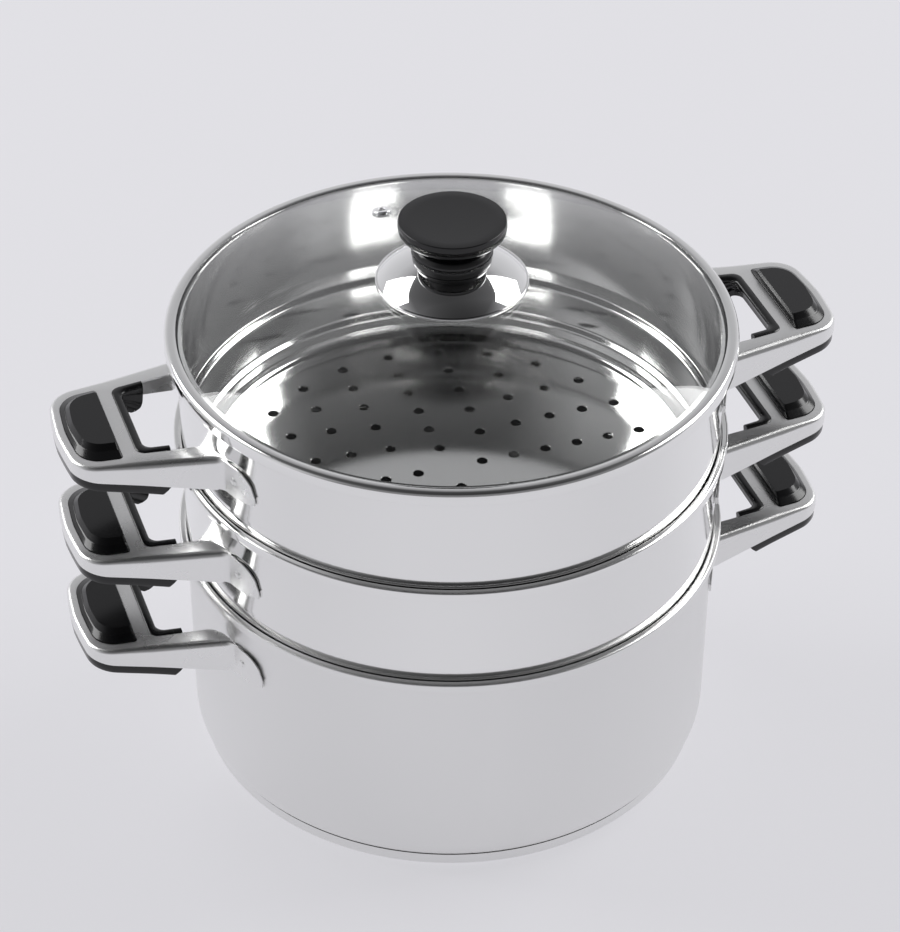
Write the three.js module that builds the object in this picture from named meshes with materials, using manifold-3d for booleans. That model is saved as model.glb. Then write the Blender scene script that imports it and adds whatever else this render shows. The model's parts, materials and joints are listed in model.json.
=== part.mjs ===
// A three-tier steamer pot: a pot with a sandwich base, two perforated baskets that nest in the rim
// below, and a domed glass lid with a steel band. Each tier has two side handles, a stamped steel
// shell over a moulded grip.
// Millimetres, +Z up. The origin is on the axis, in the plane that the pot stands on, and the
// pot's handles lie along X.

import * as THREE from "three";
import { mergeVertices } from "three/addons/utils/BufferGeometryUtils.js";
import Module from "manifold-3d";

const wasm = await Module();
wasm.setup();

// Fits
const clearance = 0.3; // between neighbouring pieces
const overrun = 6; // how far a cutting shape reaches past what it cuts

// Facets round each kind of turned piece
const wallSides = 36;
const knobSides = 24;
const boreSides = 12;
const holeSides = 6;
const curveSteps = 3;

// Walls that the pot and the baskets share
const mouthRadius = 130; // inside, a 26 cm pot
const sheet = 0.8;
const potHeight = 122.5; // rest plane to the top of the pot's rim
const tierPitch = 54.7; // rim to rim of the stacked tiers

// Rim: rounded out from the mouth to a flat top, with its edge turned down
const rimRound = 2;
const rimReach = 3.6; // beyond the wall
const rimSkirt = 4.6;
const rimEdge = 0.35;

// Pot floor and its sandwich base
const potCornerRadius = 12;
const baseCoreThickness = 3.8;
const baseCapSheet = 0.8;
const baseCapInset = 3.4; // inwards from the outside of the wall
const baseCapCorner = 3.6;
const baseCoreInset = 9;

// Basket: collar that rests on the round of the rim below, ledge, neck and perforated floor
const collarHeight = 7.6;
const collarDraw = 0.45; // that the collar narrows by towards the rim
const collarSink = 0.45; // into the rim's round
const ledgeDrop = 0.5;
const neckInset = 5; // from the outside of the wall to that of the neck
const neckRound = 0.8;
const neckTaper = 3; // that the neck narrows by at its lower step
const neckStepDepth = 19.7;
const neckStepHeight = 2;
const floorDepth = 30.8; // underside of the floor below the rim that carries the basket
const floorCornerRadius = 5.4;

// Floor holes: ring k has k times as many holes as the first, k steps out
const holeDiameter = 5;
const holeRings = 6;
const holesInFirstRing = 4;
const holeRingShare = 0.1277; // of the mouth's radius, from ring to ring

// Glass lid, with a ground edge, and its band
const glassLap = 1.3; // that the glass reaches beyond the mouth
const glassThickness = 3;
const glassRise = 24.85;
const glassEdgeHeight = 2.15; // top of the glass's edge above the rim that carries the lid
const glassEdge = 0.6;
const glassBevel = 2;
const glassBore = 4.2; // radius
const glassSteps = 3;
const bandGap = 1; // between the band's skirt and the rim's
const bandSheet = 0.8;
const bandHookSheet = 0.5;
const bandSkirt = 3.6; // below the rim
const bandShoulder = 1; // height of the outer corner above the rim
const bandCrown = 2.9; // above the rim
const bandLip = 0.7; // that the band covers the glass
const bandFold = 2.2; // under the glass

// Steam vent in the glass
const ventDistance = 80.6;
const ventAngle = 96.4; // degrees from the handles' line, on the lid
const ventFlangeRadius = 4.8;
const ventSleeveRadius = 3;
const ventBore = 1.8; // radius
const ventFlange = 0.7;

// Escutcheon under the knob
const escutcheonRadius = 36.2;
const escutcheonEdge = 1.8;
const escutcheonSheet = 0.8;
const escutcheonRise = 9.9;
const escutcheonStep = 1.1;

// Knob
const knobRadius = 25.2;
const knobHeight = 23.2;
const knobHead = 6.7;
const knobHeadTaper = 2;
const knobTopRound = 1;
const knobWaistRadius = 15;
const knobFootRadius = 19.6;
const knobFoot = 7.6;
const knobUnderside = 3.6; // height of the head's sloping underside

// Knob screw, with its washer and gasket under the glass
const knobScrewRadius = 2.5;
const knobScrewHeadRadius = 4.6;
const knobScrewHead = 2.6;
const knobScrewReach = 13; // into the knob
const washerRadius = 9;
const washerThickness = 1;
const gasketThickness = 1.2;

// Handle shell, stamped from sheet. X runs out from the pot's axis and Z is up from its top plate.
const plateDrop = 19.9; // top plate below its tier's rim
const shellSheet = 1;
const shellReach = 62.2; // from the wall to the nose
const shellNoseBulge = 2.6;
const shellNoseHalf = 30.6; // half width at the nose, before its corners are rounded
const shellRootHalf = 41.6; // half width at the wall
const shellCorner = 15;
const shellShoulder = 2;
const skirtAtNose = 6.4;
const skirtAtBar = 11.5;
const skirtAtWall = 17;

// Finger opening, bar and pad window of the shell
const openingShare = 0.484; // of the reach
const openingHalf = 27;
const openingRootHalf = 30.2;
const openingCorner = 5;
const barShare = 0.103; // of the reach
const windowMargin = 4.6; // from the window to the nose
const windowNoseBulge = 1.8;
const windowHalf = 28;
const windowNoseHalf = 26.4;
const windowCorner = 3;
const windowNoseCornerShare = 0.196; // of the reach

// Flanges by which the shell is welded to the wall
const flangeBend = 10;
const flangeAngle = 29; // degrees from the handle's centre line to the tip
const flangeTop = 52; // distance from the centre line at which the top edge starts to fall
const flangeTip = 11.5; // tip's height below the plate
const flangeTipLength = 3;

// Moulded grip: body under the shell, pad through the window, lining through the opening
const gripBand = 5; // shows under the skirt
const gripRootShare = 0.235; // of the reach, at the top
const gripRootSlant = 5;
const liningThickness = 4.2;
const liningProud = 0.2;
const padHeight = 4.4; // above the plate
const padStepHeight = 1.9;
const padStepSides = 5.4; // that the top step is drawn in at either side
const padStepNose = 2.4;
const padBevel = 1.2;

// Screw that holds the grip, and the nut welded under the bar
const gripScrewRadius = 1.7;
const gripScrewHeadRadius = 3.6;
const gripScrewHead = 2.2;
const gripScrewRecess = 3;
const nutWidth = 6;
const nutHeight = 3.2;

// Heights that follow
const wallRadius = mouthRadius + sheet;
const neckRadius = wallRadius - neckInset;
const holeRingPitch = mouthRadius * holeRingShare;
const lowerRim = potHeight + tierPitch;
const upperRim = lowerRim + tierPitch;
const glassTop = upperRim + glassEdgeHeight + glassRise;
const potFloor = baseCapSheet + baseCoreThickness;
const glassRadius = mouthRadius + glassLap;
const bandOuterRadius = wallRadius + rimReach + bandGap + bandSheet;
const shellNose = wallRadius + shellReach;
const openingEnd = wallRadius + shellReach * openingShare;
const barWidth = shellReach * barShare;
const windowEnd = shellNose - windowMargin;
const windowNoseCorner = shellReach * windowNoseCornerShare;
const gripRoot = wallRadius + shellReach * gripRootShare;

const steel = (roughness) => new THREE.MeshStandardMaterial({ color: 0xc9cacc, metalness: 1, roughness });
const materials = {
  polishedSteel: () => steel(0.12),
  satinSteel: () => steel(0.34),
  chrome: () => new THREE.MeshStandardMaterial({ color: 0xdfe1e4, metalness: 1, roughness: 0.05 }),
  aluminium: () => new THREE.MeshStandardMaterial({ color: 0xb4b6b8, metalness: 1, roughness: 0.45 }),
  bakelite: () => new THREE.MeshStandardMaterial({ color: 0x18181a, metalness: 0, roughness: 0.38 }),
  rubber: () => new THREE.MeshStandardMaterial({ color: 0xbdbdb8, metalness: 0, roughness: 0.7 }),
  glass: () => new THREE.MeshStandardMaterial({
    color: 0xe6eeec, metalness: 0, roughness: 0.03, transparent: true, opacity: 0.3,
  }),
};

const object = new THREE.Group();

// A closed solid from a geometry, with the triangles that a seam or a pole folds flat left out.
function solid(geometry) {
  geometry.deleteAttribute("normal");
  geometry.deleteAttribute("uv");
  const merged = mergeVertices(geometry, clearance / 1000);
  const index = merged.index.array;
  const kept = [];
  for (let i = 0; i < index.length; i += 3) {
    const [a, b, c] = [index[i], index[i + 1], index[i + 2]];
    if (a !== b && b !== c && c !== a) kept.push(a, b, c);
  }
  const build = (triangles) => new wasm.Manifold(new wasm.Mesh({
    numProp: 3,
    vertProperties: new Float32Array(merged.attributes.position.array),
    triVerts: new Uint32Array(triangles),
  }));
  const made = build(kept);
  return made.volume() > 0 ? made : build(kept.reverse());
}

// The geometry of a closed solid, for a mesh.
function geometryOf(manifold) {
  const mesh = manifold.getMesh();
  const geometry = new THREE.BufferGeometry();
  const points = new Float32Array(mesh.numVert * 3);
  for (let i = 0; i < mesh.numVert; i += 1) {
    for (let k = 0; k < 3; k += 1) points[i * 3 + k] = mesh.vertProperties[i * mesh.numProp + k];
  }
  geometry.setAttribute("position", new THREE.BufferAttribute(points, 3));
  geometry.setIndex(new THREE.BufferAttribute(new Uint32Array(mesh.triVerts), 1));
  return geometry;
}

// A named piece of the object, put in a group.
function addPiece(group, name, manifold, material) {
  const mesh = new THREE.Mesh(geometryOf(manifold), material);
  mesh.geometry.computeVertexNormals();
  mesh.name = name;
  group.add(mesh);
}

// A solid turned about Z from a closed profile of [radius, height] points.
function turned(profile, sides) {
  const points = [...profile, profile[0]].map(([r, z]) => new THREE.Vector2(r, z));
  const geometry = new THREE.LatheGeometry(points, sides);
  geometry.rotateX(Math.PI / 2);
  return solid(geometry);
}

// A round bar or disc along Z, from one height to another.
function disc(radius, from, to, sides) {
  return turned([[0, from], [radius, from], [radius, to], [0, to]], sides);
}

// A closed outline whose corners, given as [x, y, radius], are rounded.
function rounded(corners) {
  const shape = new THREE.Shape();
  const count = corners.length;
  const at = (i) => new THREE.Vector2(corners[(i + count) % count][0], corners[(i + count) % count][1]);
  corners.forEach(([x, y, radius], i) => {
    const corner = new THREE.Vector2(x, y);
    const before = at(i - 1).sub(corner).normalize();
    const after = at(i + 1).sub(corner).normalize();
    const half = before.angleTo(after) / 2;
    const reach = radius / Math.tan(half);
    const start = corner.clone().addScaledVector(before, reach);
    const end = corner.clone().addScaledVector(after, reach);
    if (i === 0) shape.moveTo(start.x, start.y);
    else shape.lineTo(start.x, start.y);
    if (radius > 0) shape.quadraticCurveTo(corner.x, corner.y, end.x, end.y);
  });
  shape.closePath();
  return shape;
}

// The two halves of an outline that is the same on both sides of the X axis, from its corners
// with y above zero, in order of falling y.
function mirrored(corners) {
  return [...corners, ...corners.filter(([, y]) => y > 0).reverse().map(([x, y, r]) => [x, -y, r])];
}

// A plate between two heights. A bevel draws its top and bottom edges in.
function plate(shape, from, to, bevel = 0, height = bevel) {
  const geometry = new THREE.ExtrudeGeometry(shape, {
    depth: to - from - 2 * height,
    curveSegments: curveSteps,
    bevelEnabled: bevel > 0,
    bevelSize: bevel,
    bevelOffset: -bevel,
    bevelThickness: height,
    bevelSegments: 2,
  });
  geometry.translate(0, 0, from + height);
  return solid(geometry);
}

// A plate whose outline is drawn from the side, in X and Z, and which spans a width along Y.
function sidePlate(shape, half) {
  const geometry = new THREE.ExtrudeGeometry(shape, {
    depth: 2 * half, curveSegments: curveSteps, bevelEnabled: false,
  });
  geometry.rotateX(Math.PI / 2);
  geometry.translate(0, half, 0);
  return solid(geometry);
}

// A plate whose outline is drawn from the front, in Y and Z, and which spans a stretch along X.
function frontPlate(shape, from, to) {
  const geometry = new THREE.ExtrudeGeometry(shape, {
    depth: to - from, curveSegments: curveSteps, bevelEnabled: false,
  });
  geometry.rotateX(Math.PI / 2);
  geometry.rotateZ(Math.PI / 2);
  geometry.translate(from, 0, 0);
  return solid(geometry);
}

// Points of a rim, upwards outside the wall, over the top and down inside it.
function rimProfile(top) {
  const outer = wallRadius + rimReach;
  const under = rimRound * (1 - Math.SQRT1_2);
  return [
    [wallRadius, top - rimRound],
    [wallRadius + under, top - rimRound + under + rimEdge],
    [mouthRadius + rimRound, top - sheet],
    [outer - sheet, top - sheet],
    [outer - sheet, top - rimSkirt],
    [outer, top - rimSkirt],
    [outer, top - rimEdge],
    [outer - rimEdge, top],
    [mouthRadius + rimRound, top],
    [mouthRadius + under, top - under],
    [mouthRadius, top - rimRound],
  ];
}

// Points of a quarter round from straight down to straight out, about a centre.
function cornerProfile(radius, height, r) {
  const turnShares = [0, 1 / 3, 2 / 3, 1];
  return turnShares.map((share) => [
    radius + r * Math.sin((share * Math.PI) / 2),
    height - r * Math.cos((share * Math.PI) / 2),
  ]);
}

function potBody() {
  const centre = wallRadius - potCornerRadius;
  const outer = cornerProfile(centre, potFloor + potCornerRadius, potCornerRadius);
  const inner = cornerProfile(centre, potFloor + potCornerRadius, potCornerRadius - sheet);
  return turned([
    [0, potFloor], ...outer, ...rimProfile(potHeight), ...inner.reverse(), [0, potFloor + sheet],
  ], wallSides);
}

// The steel cup that closes the base. Its wall rises to the seam line, clear of the pot's corner.
function baseCap() {
  const radius = wallRadius - baseCapInset;
  const corner = cornerProfile(radius - baseCapCorner, baseCapCorner, baseCapCorner);
  const centre = wallRadius - potCornerRadius;
  const cleared = potCornerRadius + clearance;
  const under = (r) => potFloor + potCornerRadius - Math.sqrt(cleared ** 2 - (r - centre) ** 2);
  return turned([
    [0, 0], ...corner, [radius, under(radius)],
    [radius - sheet, under(radius - sheet)],
    [radius - baseCapCorner, under(radius - baseCapCorner)],
    [wallRadius - baseCoreInset + clearance, potFloor - clearance],
    [wallRadius - baseCoreInset + clearance, baseCapSheet],
    [0, baseCapSheet],
  ], wallSides);
}

function addPot() {
  const group = new THREE.Group();
  addPiece(group, "pot_body", potBody(), materials.satinSteel());
  const core = disc(wallRadius - baseCoreInset, baseCapSheet, potFloor, wallSides);
  addPiece(group, "base_core", core, materials.aluminium());
  addPiece(group, "base_cap", baseCap(), materials.satinSteel());
  addHandles(group, "pot", potHeight);
  object.add(group);
}

// The wall of a basket, whose collar rests on the rim at a seat height.
function basketWall(seat, top) {
  const stepped = neckRadius - neckTaper;
  const floor = seat - floorDepth;
  const centre = stepped - floorCornerRadius;
  const outerCorner = cornerProfile(centre, floor + floorCornerRadius, floorCornerRadius);
  const innerCorner = cornerProfile(centre, floor + floorCornerRadius, floorCornerRadius - sheet);
  const collarFoot = seat - collarSink;
  const ledge = collarFoot - ledgeDrop;
  const step = seat - neckStepDepth;
  return turned([
    [0, floor], ...outerCorner,
    [stepped, step - neckStepHeight / 2],
    [neckRadius, step + neckStepHeight / 2],
    [neckRadius, ledge - neckRound],
    [neckRadius + neckRound, ledge],
    [wallRadius - collarDraw, collarFoot],
    [wallRadius, seat + collarHeight],
    ...rimProfile(top),
    [mouthRadius, seat + collarHeight],
    [mouthRadius - collarDraw, collarFoot + sheet],
    [neckRadius, ledge + sheet],
    [neckRadius - sheet, ledge],
    [neckRadius - sheet, step + neckStepHeight / 2],
    [stepped - sheet, step - neckStepHeight / 2],
    ...innerCorner.reverse(), [0, floor + sheet],
  ], wallSides);
}

// One round hole through a basket's floor.
function floorHole(floor, distance, angle) {
  const hole = disc(holeDiameter / 2, floor - overrun, floor + sheet + overrun, holeSides);
  return hole.translate([distance * Math.cos(angle), distance * Math.sin(angle), 0]);
}

function floorHoles(floor) {
  const holes = [];
  for (let ring = 1; ring <= holeRings; ring += 1) {
    const count = ring * holesInFirstRing;
    for (let i = 0; i < count; i += 1) {
      holes.push(floorHole(floor, ring * holeRingPitch, (2 * Math.PI * i) / count));
    }
  }
  return wasm.Manifold.union(holes);
}

function addBasket(name, seat, top) {
  const group = new THREE.Group();
  const body = basketWall(seat, top).subtract(floorHoles(seat - floorDepth));
  addPiece(group, `${name}_body`, body, materials.polishedSteel());
  addHandles(group, name, top);
  object.add(group);
}

// Height of the glass's upper or lower face over a radius, for a face that many below the top.
function domeHeight(radius, below) {
  const sphere = (glassRadius ** 2 + glassRise ** 2) / (2 * glassRise);
  const inner = sphere - below;
  return glassTop - sphere + Math.sqrt(inner ** 2 - radius ** 2);
}

function lidGlass() {
  const top = [];
  const bottom = [];
  const span = glassRadius - glassBore;
  for (let i = 0; i <= glassSteps; i += 1) {
    const radius = glassBore + (span * i) / glassSteps;
    top.push([radius, domeHeight(radius, 0)]);
    const under = glassBore + ((span - glassBevel) * i) / glassSteps;
    bottom.push([under, domeHeight(under, glassThickness)]);
  }
  const edge = [glassRadius, domeHeight(glassRadius, 0) - glassEdge];
  const vent = disc(ventSleeveRadius + clearance, upperRim, glassTop + overrun, boreSides);
  return turned([...bottom, edge, ...top.reverse()], wallSides).subtract(placeVent(vent));
}

// The band grips the glass's ground edge, rests on the rim's flat top and comes down outside it.
function lidBand() {
  const groove = glassRadius + clearance;
  const lip = glassRadius - bandLip;
  const lipFoot = domeHeight(lip, 0) + clearance / 2;
  const bevelTop = domeHeight(glassRadius, 0) - glassEdge - clearance / 2;
  const bevelFoot = glassRadius - glassBevel + clearance;
  const bevelFootHeight = domeHeight(glassRadius - glassBevel, glassThickness) - clearance;
  const fold = bevelFoot - bandFold;
  const foldTop = domeHeight(fold, glassThickness) - clearance;
  const slant = bandHookSheet * Math.SQRT1_2;
  const seat = upperRim + clearance;
  const hookFoot = bevelFootHeight - slant;
  return turned([
    [bandOuterRadius - bandSheet, upperRim - bandSkirt],
    [bandOuterRadius, upperRim - bandSkirt],
    [bandOuterRadius, upperRim + bandShoulder],
    [bandOuterRadius - bandShoulder, upperRim + (bandShoulder + bandCrown) / 2],
    [(bandOuterRadius + groove) / 2, upperRim + bandCrown],
    [lip, lipFoot + bandSheet / 2],
    [lip, lipFoot],
    [groove, lipFoot],
    [groove, bevelTop],
    [bevelFoot, bevelFootHeight],
    [fold, foldTop],
    [fold, foldTop - bandHookSheet],
    [bevelFoot + slant, hookFoot],
    [bevelFoot + slant + seat - hookFoot, seat],
    [bandOuterRadius - bandSheet - rimEdge, seat],
    [bandOuterRadius - bandSheet, seat - rimEdge],
  ], wallSides);
}

// Moves a piece that was made upright on the axis to the vent's place on the dome.
function placeVent(piece) {
  return piece.translate([ventDistance, 0, 0]).rotate([0, 0, ventAngle]);
}

// The vent: a steel eyelet whose flanges hold the glass from both sides.
function steamVent() {
  const slope = Math.asin(ventDistance / ((glassRadius ** 2 + glassRise ** 2) / (2 * glassRise)));
  const tilt = ventFlangeRadius * Math.tan(slope);
  const over = domeHeight(ventDistance, 0) + tilt + clearance;
  const under = domeHeight(ventDistance, glassThickness) - tilt - clearance;
  return placeVent(turned([
    [ventBore, under - ventFlange],
    [ventFlangeRadius, under - ventFlange],
    [ventFlangeRadius, under],
    [ventSleeveRadius, under],
    [ventSleeveRadius, over],
    [ventFlangeRadius, over],
    [ventSleeveRadius, over + ventFlange],
    [ventBore, over + ventFlange],
  ], boreSides));
}

function escutcheonFoot() {
  return domeHeight(escutcheonRadius, 0) + clearance;
}

function escutcheon() {
  const foot = escutcheonFoot();
  const bore = knobScrewRadius + clearance;
  const reach = escutcheonRadius - escutcheonStep;
  const domeShares = [[1, 0], [0.85, 0.4], [0.56, 0.83], [0.3, 1]];
  const rise = escutcheonRise - escutcheonEdge;
  const dome = domeShares.map(([r, z]) => [reach * r, foot + escutcheonEdge + rise * z]);
  const under = dome.map(([r, z]) => [r, z - escutcheonSheet]).reverse();
  return turned([
    [escutcheonRadius, foot], [escutcheonRadius, foot + escutcheonEdge], ...dome,
    [bore, foot + escutcheonRise], [bore, foot + escutcheonRise - escutcheonSheet],
    ...under.slice(0, -1), [reach - escutcheonSheet, foot],
  ], knobSides);
}

function knob() {
  const foot = escutcheonFoot() + escutcheonRise + clearance;
  const top = foot + knobHeight;
  const bore = knobScrewRadius + clearance;
  const boreTop = foot + knobScrewReach + clearance;
  const headFoot = top - knobHead;
  return turned([
    [bore, foot], [knobFootRadius, foot], [knobFootRadius, foot + knobFoot - knobTopRound],
    [knobFootRadius - knobTopRound, foot + knobFoot],
    [knobWaistRadius, foot + knobFoot + knobTopRound],
    [knobWaistRadius, headFoot - knobUnderside],
    [knobRadius - knobHeadTaper, headFoot],
    [knobRadius, top - knobTopRound - knobTopRound], [knobRadius - knobTopRound, top],
    [0, top], [0, boreTop], [bore, boreTop],
  ], knobSides);
}

// The screw stands head down under the glass, through the gasket and washer, into the knob.
function knobScrew() {
  const washerFoot = domeHeight(washerRadius, glassThickness) - clearance - gasketThickness - washerThickness;
  const headTop = washerFoot - clearance;
  const tip = escutcheonFoot() + escutcheonRise + clearance + knobScrewReach;
  return turned([
    [0, headTop - knobScrewHead], [knobScrewHeadRadius, headTop - knobScrewHead / 2],
    [knobScrewHeadRadius, headTop], [knobScrewRadius, headTop], [knobScrewRadius, tip], [0, tip],
  ], boreSides);
}

function addKnobFixing(group) {
  const gasketTop = domeHeight(washerRadius, glassThickness) - clearance;
  const ring = (from, to) => turned([
    [knobScrewRadius + clearance, from], [washerRadius, from],
    [washerRadius, to], [knobScrewRadius + clearance, to],
  ], boreSides);
  const washerTop = gasketTop - gasketThickness;
  addPiece(group, "knob_gasket", ring(washerTop, gasketTop), materials.rubber());
  addPiece(group, "knob_washer", ring(washerTop - washerThickness, washerTop), materials.satinSteel());
  addPiece(group, "knob_screw", knobScrew(), materials.satinSteel());
}

function addLid() {
  const group = new THREE.Group();
  addPiece(group, "lid_glass", lidGlass(), materials.glass());
  addPiece(group, "lid_band", lidBand(), materials.polishedSteel());
  addPiece(group, "steam_vent", steamVent(), materials.chrome());
  addPiece(group, "knob_escutcheon", escutcheon(), materials.chrome());
  addPiece(group, "knob", knob(), materials.bakelite());
  addKnobFixing(group);
  object.add(group);
}

// Outline of the shell's top plate, from inside the wall to the nose.
function shellOutline() {
  const slope = (shellRootHalf - shellNoseHalf) / (shellNose - wallRadius);
  const root = mouthRadius - shellRootHalf;
  return rounded(mirrored([
    [root, shellRootHalf + slope * (wallRadius - root), 0],
    [shellNose - shellNoseBulge, shellNoseHalf, shellCorner],
    [shellNose, 0, 0],
  ]));
}

function openingOutline(inset) {
  const root = mouthRadius - shellRootHalf;
  const slope = (openingRootHalf - openingHalf) / (openingEnd - wallRadius);
  return rounded(mirrored([
    [root, openingHalf + slope * (openingEnd - root) - inset, 0],
    [openingEnd - inset, openingHalf - inset, openingCorner],
  ]));
}

// Outline of the window for the pad, drawn in all round and further at its sides and nose.
function windowOutline(inset, sides = 0, nose = 0) {
  return rounded(mirrored([
    [openingEnd + barWidth + inset, windowHalf - inset - sides, windowCorner],
    [windowEnd - windowNoseBulge - inset - nose, windowNoseHalf - inset - sides, windowNoseCorner],
    [windowEnd - inset - nose, 0, 0],
  ]));
}

// Everything on the pot's side of the line that the shell's skirt or the grip's underside follows.
function skirtEdge(drop) {
  return [
    [wallRadius - shellRootHalf, -skirtAtWall - drop, 0],
    [wallRadius, -skirtAtWall - drop, 0],
    [openingEnd, -skirtAtBar - drop, shellCorner],
    [shellNose + overrun, -skirtAtNose - drop, 0],
  ];
}

// The wall's outside, as the handles are cut to it.
function wallCutter() {
  return disc(wallRadius + clearance, -potHeight, potHeight, wallSides);
}

// The curved sheet that leaves an arm, bends outwards and lies along the wall.
function flange() {
  const inner = wallRadius + clearance;
  const outer = inner + shellSheet;
  const tip = THREE.MathUtils.degToRad(flangeAngle);
  const armHalf = shellRootHalf;
  const bendY = armHalf + flangeBend;
  const bendX = Math.sqrt((outer + flangeBend) ** 2 - bendY ** 2);
  const touch = Math.atan2(bendY, bendX);
  const steps = curveSteps;
  const arc = (cx, cy, r, from, to) => Array.from({ length: steps + 1 }, (_, i) => {
    const a = from + ((to - from) * i) / steps;
    return new THREE.Vector2(cx + r * Math.cos(a), cy + r * Math.sin(a));
  });
  const outerBend = arc(bendX, bendY, flangeBend, -Math.PI / 2, touch - Math.PI);
  const innerBend = arc(bendX, bendY, flangeBend + shellSheet, touch - Math.PI, -Math.PI / 2);
  const outerWall = arc(0, 0, outer / Math.cos(Math.PI / wallSides), touch, tip);
  const innerWall = arc(0, 0, inner - sheet, tip, touch);
  const ribbon = new THREE.Shape([...outerBend, ...outerWall, ...innerWall, ...innerBend]);
  const bent = plate(ribbon, -skirtAtWall - overrun, 0);
  const tipY = outer * Math.sin(tip);
  const drawn = rounded([
    [armHalf - 2 * shellSheet, -shellShoulder, 0],
    [armHalf - 2 * shellSheet, -skirtAtWall, 0],
    [tipY, -flangeTip - flangeTipLength, shellSheet],
    [tipY, -shellShoulder / 2, flangeTip - shellShoulder],
    [flangeTop - flangeBend, -shellShoulder / 2, 0],
  ]);
  return bent.intersect(frontPlate(drawn, mouthRadius / 2, shellNose));
}

// The stamped shell: plate with a rounded shoulder and a skirt that deepens towards the wall.
function handleShell() {
  const outline = shellOutline();
  const deep = -skirtAtWall - 2 * overrun;
  const outer = plate(outline, deep, 0, shellShoulder);
  const hollow = plate(insetOf(outline, shellSheet), deep - overrun, -shellSheet, shellShoulder);
  const edge = skirtEdge(0);
  const below = rounded([...edge, [shellNose + overrun, deep - 2 * overrun, 0],
    [wallRadius - shellRootHalf, deep - 2 * overrun, 0]]);
  const arm = flange();
  return outer
    .subtract(hollow)
    .add(arm)
    .add(arm.mirror([0, 1, 0]))
    .subtract(sidePlate(below, 2 * shellRootHalf))
    .subtract(plate(openingOutline(0), -2 * shellSheet, overrun))
    .subtract(plate(windowOutline(0), -2 * shellSheet, overrun))
    .subtract(wallCutter());
}

// An outline drawn in by a distance all round.
function insetOf(shape, distance) {
  const points = shape.getPoints(curveSteps);
  if (points[0].equals(points[points.length - 1])) points.pop();
  const count = points.length;
  const moved = points.map((point, i) => {
    const before = points[(i + count - 1) % count];
    const after = points[(i + 1) % count];
    const a = point.clone().sub(before).normalize();
    const b = after.clone().sub(point).normalize();
    const side = THREE.ShapeUtils.isClockWise(points) ? 1 : -1;
    const normal = new THREE.Vector2(-(a.y + b.y), a.x + b.x).multiplyScalar(-side).normalize();
    const spread = normal.dot(new THREE.Vector2(-a.y, a.x).multiplyScalar(-side));
    return point.clone().addScaledVector(normal, distance / spread);
  });
  return new THREE.Shape(moved);
}

// The moulded grip, with the pad, the lining of the finger opening, and pockets for nut and screw.
function handleGrip() {
  const seat = -shellSheet - clearance;
  const inset = shellSheet + clearance;
  const deep = -skirtAtWall - gripBand - overrun;
  const block = plate(insetOf(shellOutline(), inset), deep - overrun, seat, shellShoulder);
  const side = rounded([
    [gripRoot, overrun, 0],
    [gripRoot, seat, 0],
    [gripRoot + gripRootSlant, -skirtAtWall, 0],
    [gripRoot + gripRootSlant, gripUnderside(gripRoot + gripRootSlant), 0],
    [openingEnd, -skirtAtBar - gripBand, 0],
    [shellNose + overrun, -skirtAtNose - gripBand, 0],
    [shellNose + overrun, overrun, 0],
  ]);
  const lining = plate(openingOutline(clearance), seat - overrun, liningProud);
  const padFoot = seat - 2 * padBevel;
  const padStep = plate(windowOutline(clearance), padFoot, padStepHeight, padBevel);
  const padTop = windowOutline(2 * clearance, padStepSides, padStepNose);
  const bar = openingEnd + barWidth / 2;
  const screw = disc(gripScrewRadius + clearance, deep - overrun, seat, boreSides);
  const head = disc(gripScrewHeadRadius + clearance, deep - overrun, gripScrewSeat(), boreSides);
  const nut = nutBlock(clearance);
  return block
    .add(lining)
    .add(padStep)
    .add(plate(padTop, padFoot, padHeight, padBevel))
    .intersect(sidePlate(side, 2 * shellRootHalf))
    .subtract(plate(openingOutline(clearance + liningThickness), deep - 2 * overrun, overrun))
    .subtract(screw.translate([bar, 0, 0]))
    .subtract(head.translate([bar, 0, 0]))
    .subtract(nut);
}

// Height of the grip's underside at a distance from the pot's axis, between the wall and the bar.
function gripUnderside(x) {
  const share = (x - wallRadius) / (openingEnd - wallRadius);
  return -gripBand - skirtAtWall + (skirtAtWall - skirtAtBar) * share;
}

function gripScrewSeat() {
  return -skirtAtBar - gripBand + gripScrewRecess + gripScrewHead;
}

// The nut's block, grown all round by a margin where it is a pocket.
function nutBlock(margin) {
  const half = nutWidth / 2 + margin;
  const bar = openingEnd + barWidth / 2;
  const square = new THREE.BoxGeometry(2 * half, 2 * half, nutHeight + 2 * margin);
  square.translate(bar, 0, -shellSheet - clearance - nutHeight / 2);
  return solid(square);
}

function gripNut() {
  const bar = openingEnd + barWidth / 2;
  const bore = disc(gripScrewRadius + clearance, -2 * nutHeight - overrun, overrun, boreSides);
  return nutBlock(0).subtract(bore.translate([bar, 0, 0]));
}

function gripScrew() {
  const seat = gripScrewSeat() - clearance;
  const tip = -shellSheet - clearance - nutHeight / 3;
  return turned([
    [0, seat - gripScrewHead], [gripScrewHeadRadius, seat - gripScrewHead / 2],
    [gripScrewHeadRadius, seat], [gripScrewRadius, seat], [gripScrewRadius, tip], [0, tip],
  ], boreSides).translate([openingEnd + barWidth / 2, 0, 0]);
}

const handleParts = {
  shell: [handleShell(), materials.satinSteel],
  grip: [handleGrip(), materials.bakelite],
  nut: [gripNut(), materials.satinSteel],
  screw: [gripScrew(), materials.satinSteel],
};

// The two handles of a tier, on opposite sides.
function addHandles(group, tier, rim) {
  [["right", 0], ["left", Math.PI]].forEach(([side, turn]) => {
    const handle = new THREE.Group();
    for (const [part, [manifold, material]] of Object.entries(handleParts)) {
      addPiece(handle, `${tier}_${side}_handle_${part}`, manifold, material());
    }
    handle.rotation.z = turn;
    handle.position.z = rim - plateDrop;
    group.add(handle);
  });
}

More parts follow.
